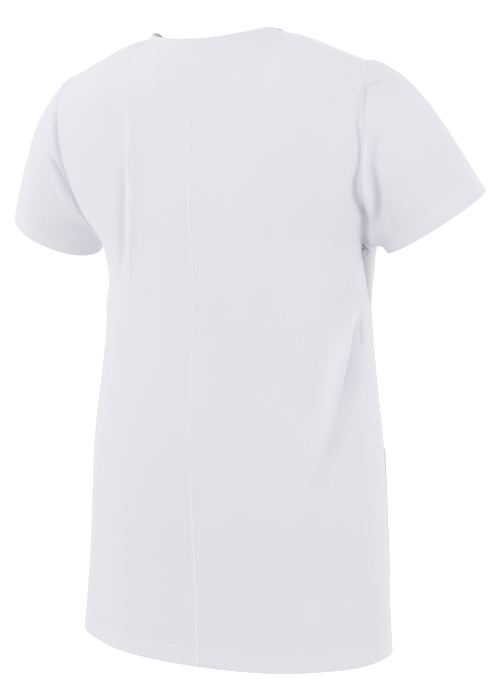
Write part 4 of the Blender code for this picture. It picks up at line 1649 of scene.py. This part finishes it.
@dataclass
class PatchPocket:
    """A patch pocket on the lower front: its cloth a layer off the front, slack at its mouth."""

    side: Side
    form: ClothForm
    off: float = 0.0010
    edge_off: float = 0.0003
    edge_share: float = 0.04
    hem_lift: float = 0.0002
    own_layers: float = 0.1
    slack: float = 0.0024
    slack_rise: float = 1.5
    hem_depth: float = 0.018
    turn: float = 0.008
    stitch_inset: float = 0.002
    flat: tuple[float, float] = (0.148, 0.166)
    area: float = 0.0233

    def span(self) -> tuple[slice, slice]:
        """The rows and columns of the front that the pocket covers."""
        form = self.form
        stops = form.row_stops[Half.FRONT]
        reach = stops[form.side_row] / (form.torso.underarm_height - HEM_HEIGHT)
        low, high = (
            int(np.abs(stops - (height - HEM_HEIGHT) * reach).argmin())
            for height in (form.pocket_bottom_height, form.pocket_top_height)
        )
        edges = sorted(form.pocket_edges[at] * self.side.value for at in (0, 1))
        left, right = (int(np.abs(form.column_stops - edge).argmin()) for edge in edges)
        return slice(low, high + 1), slice(left, right + 1)

    def patch(self) -> Patch:
        """Make the pocket's cloth.

        Returns:
            The patch, moved off the front.
        """
        cloth = self.form.front.block(*self.span())
        across = np.linspace(-1, 1, cloth.points.shape[1])[None, :]
        up = np.linspace(0, 1, cloth.points.shape[0])[:, None]
        gap = self.off + self.slack * (1 - across**2) * up**self.slack_rise
        rise = cloth.grain[-1, 0, 1] - cloth.grain[..., 1]
        hem = 1 - self.form.sewing.beyond(rise, self.hem_depth)
        edge = np.minimum(1 - np.abs(across), up + np.zeros_like(across))
        gap = gap + self.hem_lift * hem
        gap = gap - (self.off - self.edge_off) * (1 - ramp(edge, 0.0, self.edge_share))
        points = cloth.points + cloth.normals * gap[..., None]
        layers = self.own_layers + hem * self.form.sewing.hem_layers
        return Patch(points, cloth.grain, cloth.lift, layers, cloth.reverse, cloth.normals)

    def seams(self, patch: Patch) -> list[StitchRow]:
        """The stitches down both sides and along the bottom, and the one that holds the hem."""
        inset = self.stitch_inset
        left, right = (row_line(p.on_its_side(), inset) for p in (patch, patch.mirrored()))
        bottom = row_line(patch, inset)
        hem = row_line(patch, patch.grain[-1, 0, 1] - patch.grain[0, 0, 1] - self.hem_depth)
        return [left, right, bottom, hem]


def row_line(patch: Patch, depth: float, columns: slice = slice(None)) -> StitchRow:
    """Lay a row of stitches across a patch, a fixed depth from its first row.

    Args:
        patch: the patch.
        depth: how far from the first row, measured along each column.
        columns: the columns that the row crosses.

    Returns:
        The row.
    """
    points, normals = patch.points[:, columns], patch.normals[:, columns]
    places, outs = [], []
    for k in range(points.shape[1]):
        along = lengths_along(points[:, k])
        places.append([np.interp(depth, along, points[:, k, i]) for i in range(3)])
        outs.append([np.interp(depth, along, normals[:, k, i]) for i in range(3)])
    return StitchRow(np.array(places), np.array(outs))


# ---------------------------------------------------------------- the garment


@dataclass
class Tunic:
    """The tunic: its cut pieces, its pockets and its stitches."""

    form: ClothForm
    cloth: Polycotton = Polycotton()
    thread: SewingThread = SewingThread()
    seam_turn: float = 0.008
    neck_stitch: float = 0.007
    yoke_stitch: float = 0.0018

    def pieces(self) -> list[ClothPiece]:
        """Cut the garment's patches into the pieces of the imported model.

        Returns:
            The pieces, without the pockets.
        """
        form = self.form
        middle = int(np.abs(form.column_stops).argmin())
        low, high = slice(0, form.yoke_row + 1), slice(form.yoke_row, None)
        hem, turn = form.sewing.hem_depth, self.seam_turn
        left, right = (form.back.block(low, s) for s in (slice(middle, None), slice(0, middle + 1)))
        yoke = form.back.block(high, slice(None))
        made = [
            ClothPiece("back_left", left, (0.250, 0.720), 0.161, ("back_yoke",), hem, turn),
            ClothPiece("back_right", right, (0.250, 0.720), 0.161, ("back_yoke",), hem, turn),
            ClothPiece("back_yoke", yoke, (0.450, 0.125), 0.041, ("shoulders",), turn, turn),
            ClothPiece("front", form.front, (0.540, 0.770), 0.361, ("back_yoke",), hem, turn),
        ]
        for side, (flat, area) in {
            Side.LEFT: ((0.400, 0.185), 0.0554),
            Side.RIGHT: ((0.400, 0.180), 0.0489),
        }.items():
            ends = (turn, form.sewing.cuff_depth)
            hung = ("back_yoke", "front")
            name = f"sleeve_{side.label}"
            made.append(ClothPiece(name, form.sleeve[side], flat, area, hung, *ends))
        return made

    def stitching(self) -> list[Stitching]:
        """List the rows of stitches that show, a piece for each part of the garment.

        Returns:
            The stitches, apart from the pockets'.
        """
        form = self.form
        hem = [row_line(patch, form.sewing.hem_depth) for patch in (form.back, form.front)]
        made = [Stitching("hem_stitches", hem)]
        for side in Side:
            cuff = row_line(form.sleeve[side].upside_down(), form.sewing.cuff_depth)
            made.append(Stitching(f"cuff_stitches_{side.label}", [cuff]))
        inside = np.flatnonzero(np.abs(form.column_stops) <= form.neck_end + ROUNDING)
        neck = slice(inside[0], inside[-1] + 1)
        rows = [row_line(p.upside_down(), self.neck_stitch, neck) for p in (form.back, form.front)]
        made.append(Stitching("neck_stitches", rows))
        yoke = form.back.block(slice(form.yoke_row, None), slice(None))
        made.append(Stitching("yoke_stitches", [row_line(yoke, self.yoke_stitch)]))
        return made

    def build(self) -> None:
        """Builds and dresses every piece."""
        for piece in self.pieces():
            piece.dress(piece.build(), self.cloth)
        for side in Side:
            pocket = PatchPocket(side, self.form)
            patch = pocket.patch()
            name, ends = f"pocket_{side.label}", (pocket.turn, pocket.hem_depth)
            piece = ClothPiece(name, patch, pocket.flat, pocket.area, ("front",), *ends)
            piece.dress(piece.build(), self.cloth)
            seams = Stitching(f"pocket_stitches_{side.label}", pocket.seams(patch))
            seams.dress(seams.build(), self.thread)
        for stitching in self.stitching():
            stitching.dress(stitching.build(), self.thread)


class SoftLight(NamedTuple):
    """A square soft light: where it hangs, the length of its sides and its power."""

    name: str
    at: tuple[float, float, float]
    size: float
    watts: float


@dataclass
class Studio:
    """A pale floor, soft white light all round, and the camera at the photo's angle.

    The camera stands behind the tunic, turned towards the wearer's right.
    """

    frame_px: tuple[int, int] = (500, 700)
    focal_px: float = 1932.0
    sensor_mm: float = 36.0
    aim: Vector = point(-0.0344, -0.0199, -0.3963)
    turn_deg: float = 30.0
    distance: float = 2.4
    rise: float = 0.1863
    floor_height: float = -1.45
    floor_size: float = 40.0
    floor_colour: Colour = (0.93, 0.93, 0.93, 1.0)
    floor_roughness: float = 0.9
    background: float = 1.05
    ambient: float = 0.79
    floor_seen: float = 0.40
    floor_light: float = 0.91
    lights: tuple[SoftLight, ...] = (
        SoftLight("left", (1.6, 2.6, 1.4), 1.6, 9.2),
        SoftLight("behind_camera", (-1.6, 2.8, 1.2), 1.6, 10.4),
        SoftLight("right", (-3.0, 1.0, 1.0), 1.6, 10.9),
        SoftLight("far_left", (3.0, 0.6, 1.0), 1.6, 19.3),
        SoftLight("front", (-1.5, -2.6, 0.9), 2.0, 16.9),
    )

    def camera(self) -> None:
        """Sets up the camera."""
        data = bpy.data.cameras.new("camera")
        data.sensor_width = self.sensor_mm
        data.lens = self.focal_px / max(self.frame_px) * self.sensor_mm
        turn = math.radians(self.turn_deg)
        away = Vector((-math.sin(turn), math.cos(turn), 0.0)) * self.distance
        camera = put_in_scene("camera", data)
        camera.location = self.aim + away + Vector((0.0, 0.0, self.rise))
        camera.rotation_euler = (self.aim - camera.location).to_track_quat("-Z", "Y").to_euler()
        bpy.context.scene.camera = camera

    def floor(self) -> None:
        """Lays a plain pale floor well below the hem, as the wearer would stand on."""
        plane = bmesh.new()
        bmesh.ops.create_grid(plane, x_segments=1, y_segments=1, size=self.floor_size / 2)
        bmesh.ops.translate(plane, verts=plane.verts, vec=(0.0, 0.0, self.floor_height))
        mesh = finished_mesh("floor", plane)
        mesh.materials.append(self.floor_material())
        floor = put_in_scene("floor", mesh)

    def floor_material(self) -> bpy.types.Material:
        """Make the pale floor, which gives the tunic a steady light from below.

        Returns:
            The material.
        """
        material, tree, shader = new_material("pale_floor", self.floor_roughness)
        shader.inputs["Base Color"].default_value = self.floor_colour
        shader.inputs["Emission Color"].default_value = WHITE
        shader.inputs["Emission Strength"].default_value = self.floor_seen
        glow = tree.nodes.new("ShaderNodeEmission")
        glow.inputs["Strength"].default_value = self.floor_light
        split_by_ray(tree, glow, shader, tree.nodes["Material Output"])
        return material

    def world(self) -> None:
        """Lights the room evenly and shows plain white behind the tunic."""
        world = bpy.data.worlds.new("studio")
        bpy.context.scene.world = world
        world.use_nodes = True
        tree = world.node_tree
        tree.nodes.clear()
        glows = []
        for strength in (self.ambient, self.background):
            glow = tree.nodes.new("ShaderNodeBackground")
            glow.inputs["Strength"].default_value = strength
            glow.inputs["Color"].default_value = WHITE
            glows.append(glow)
        split_by_ray(tree, *glows, tree.nodes.new("ShaderNodeOutputWorld"))

    def hang(self, light: SoftLight) -> None:
        """Hangs one soft light that faces the tunic."""
        data = bpy.data.lights.new(light.name, "AREA")
        data.size = light.size
        data.energy = light.watts
        lamp = put_in_scene(light.name, data)
        lamp.location = light.at
        lamp.rotation_euler = (self.aim - Vector(light.at)).to_track_quat("-Z", "Y").to_euler()

    def build(self) -> None:
        """Builds the whole studio."""
        self.camera()
        self.floor()
        self.world()
        for light in self.lights:
            self.hang(light)
        bpy.context.scene.view_settings.view_transform = "Standard"


def corners(box: tuple[Vector, Vector]) -> list[list[float]]:
    """A box's two corners as plain lists."""
    return [list(corner) for corner in box]


def main() -> None:
    """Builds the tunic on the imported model, then the studio."""
    logging.basicConfig(level=logging.INFO, format="%(message)s")
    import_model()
    form = ClothForm(TorsoForm(), SLEEVES, Sewing())
    form.build()
    Tunic(form).build()
    Studio().build()


if __name__ == "__main__":
    main()
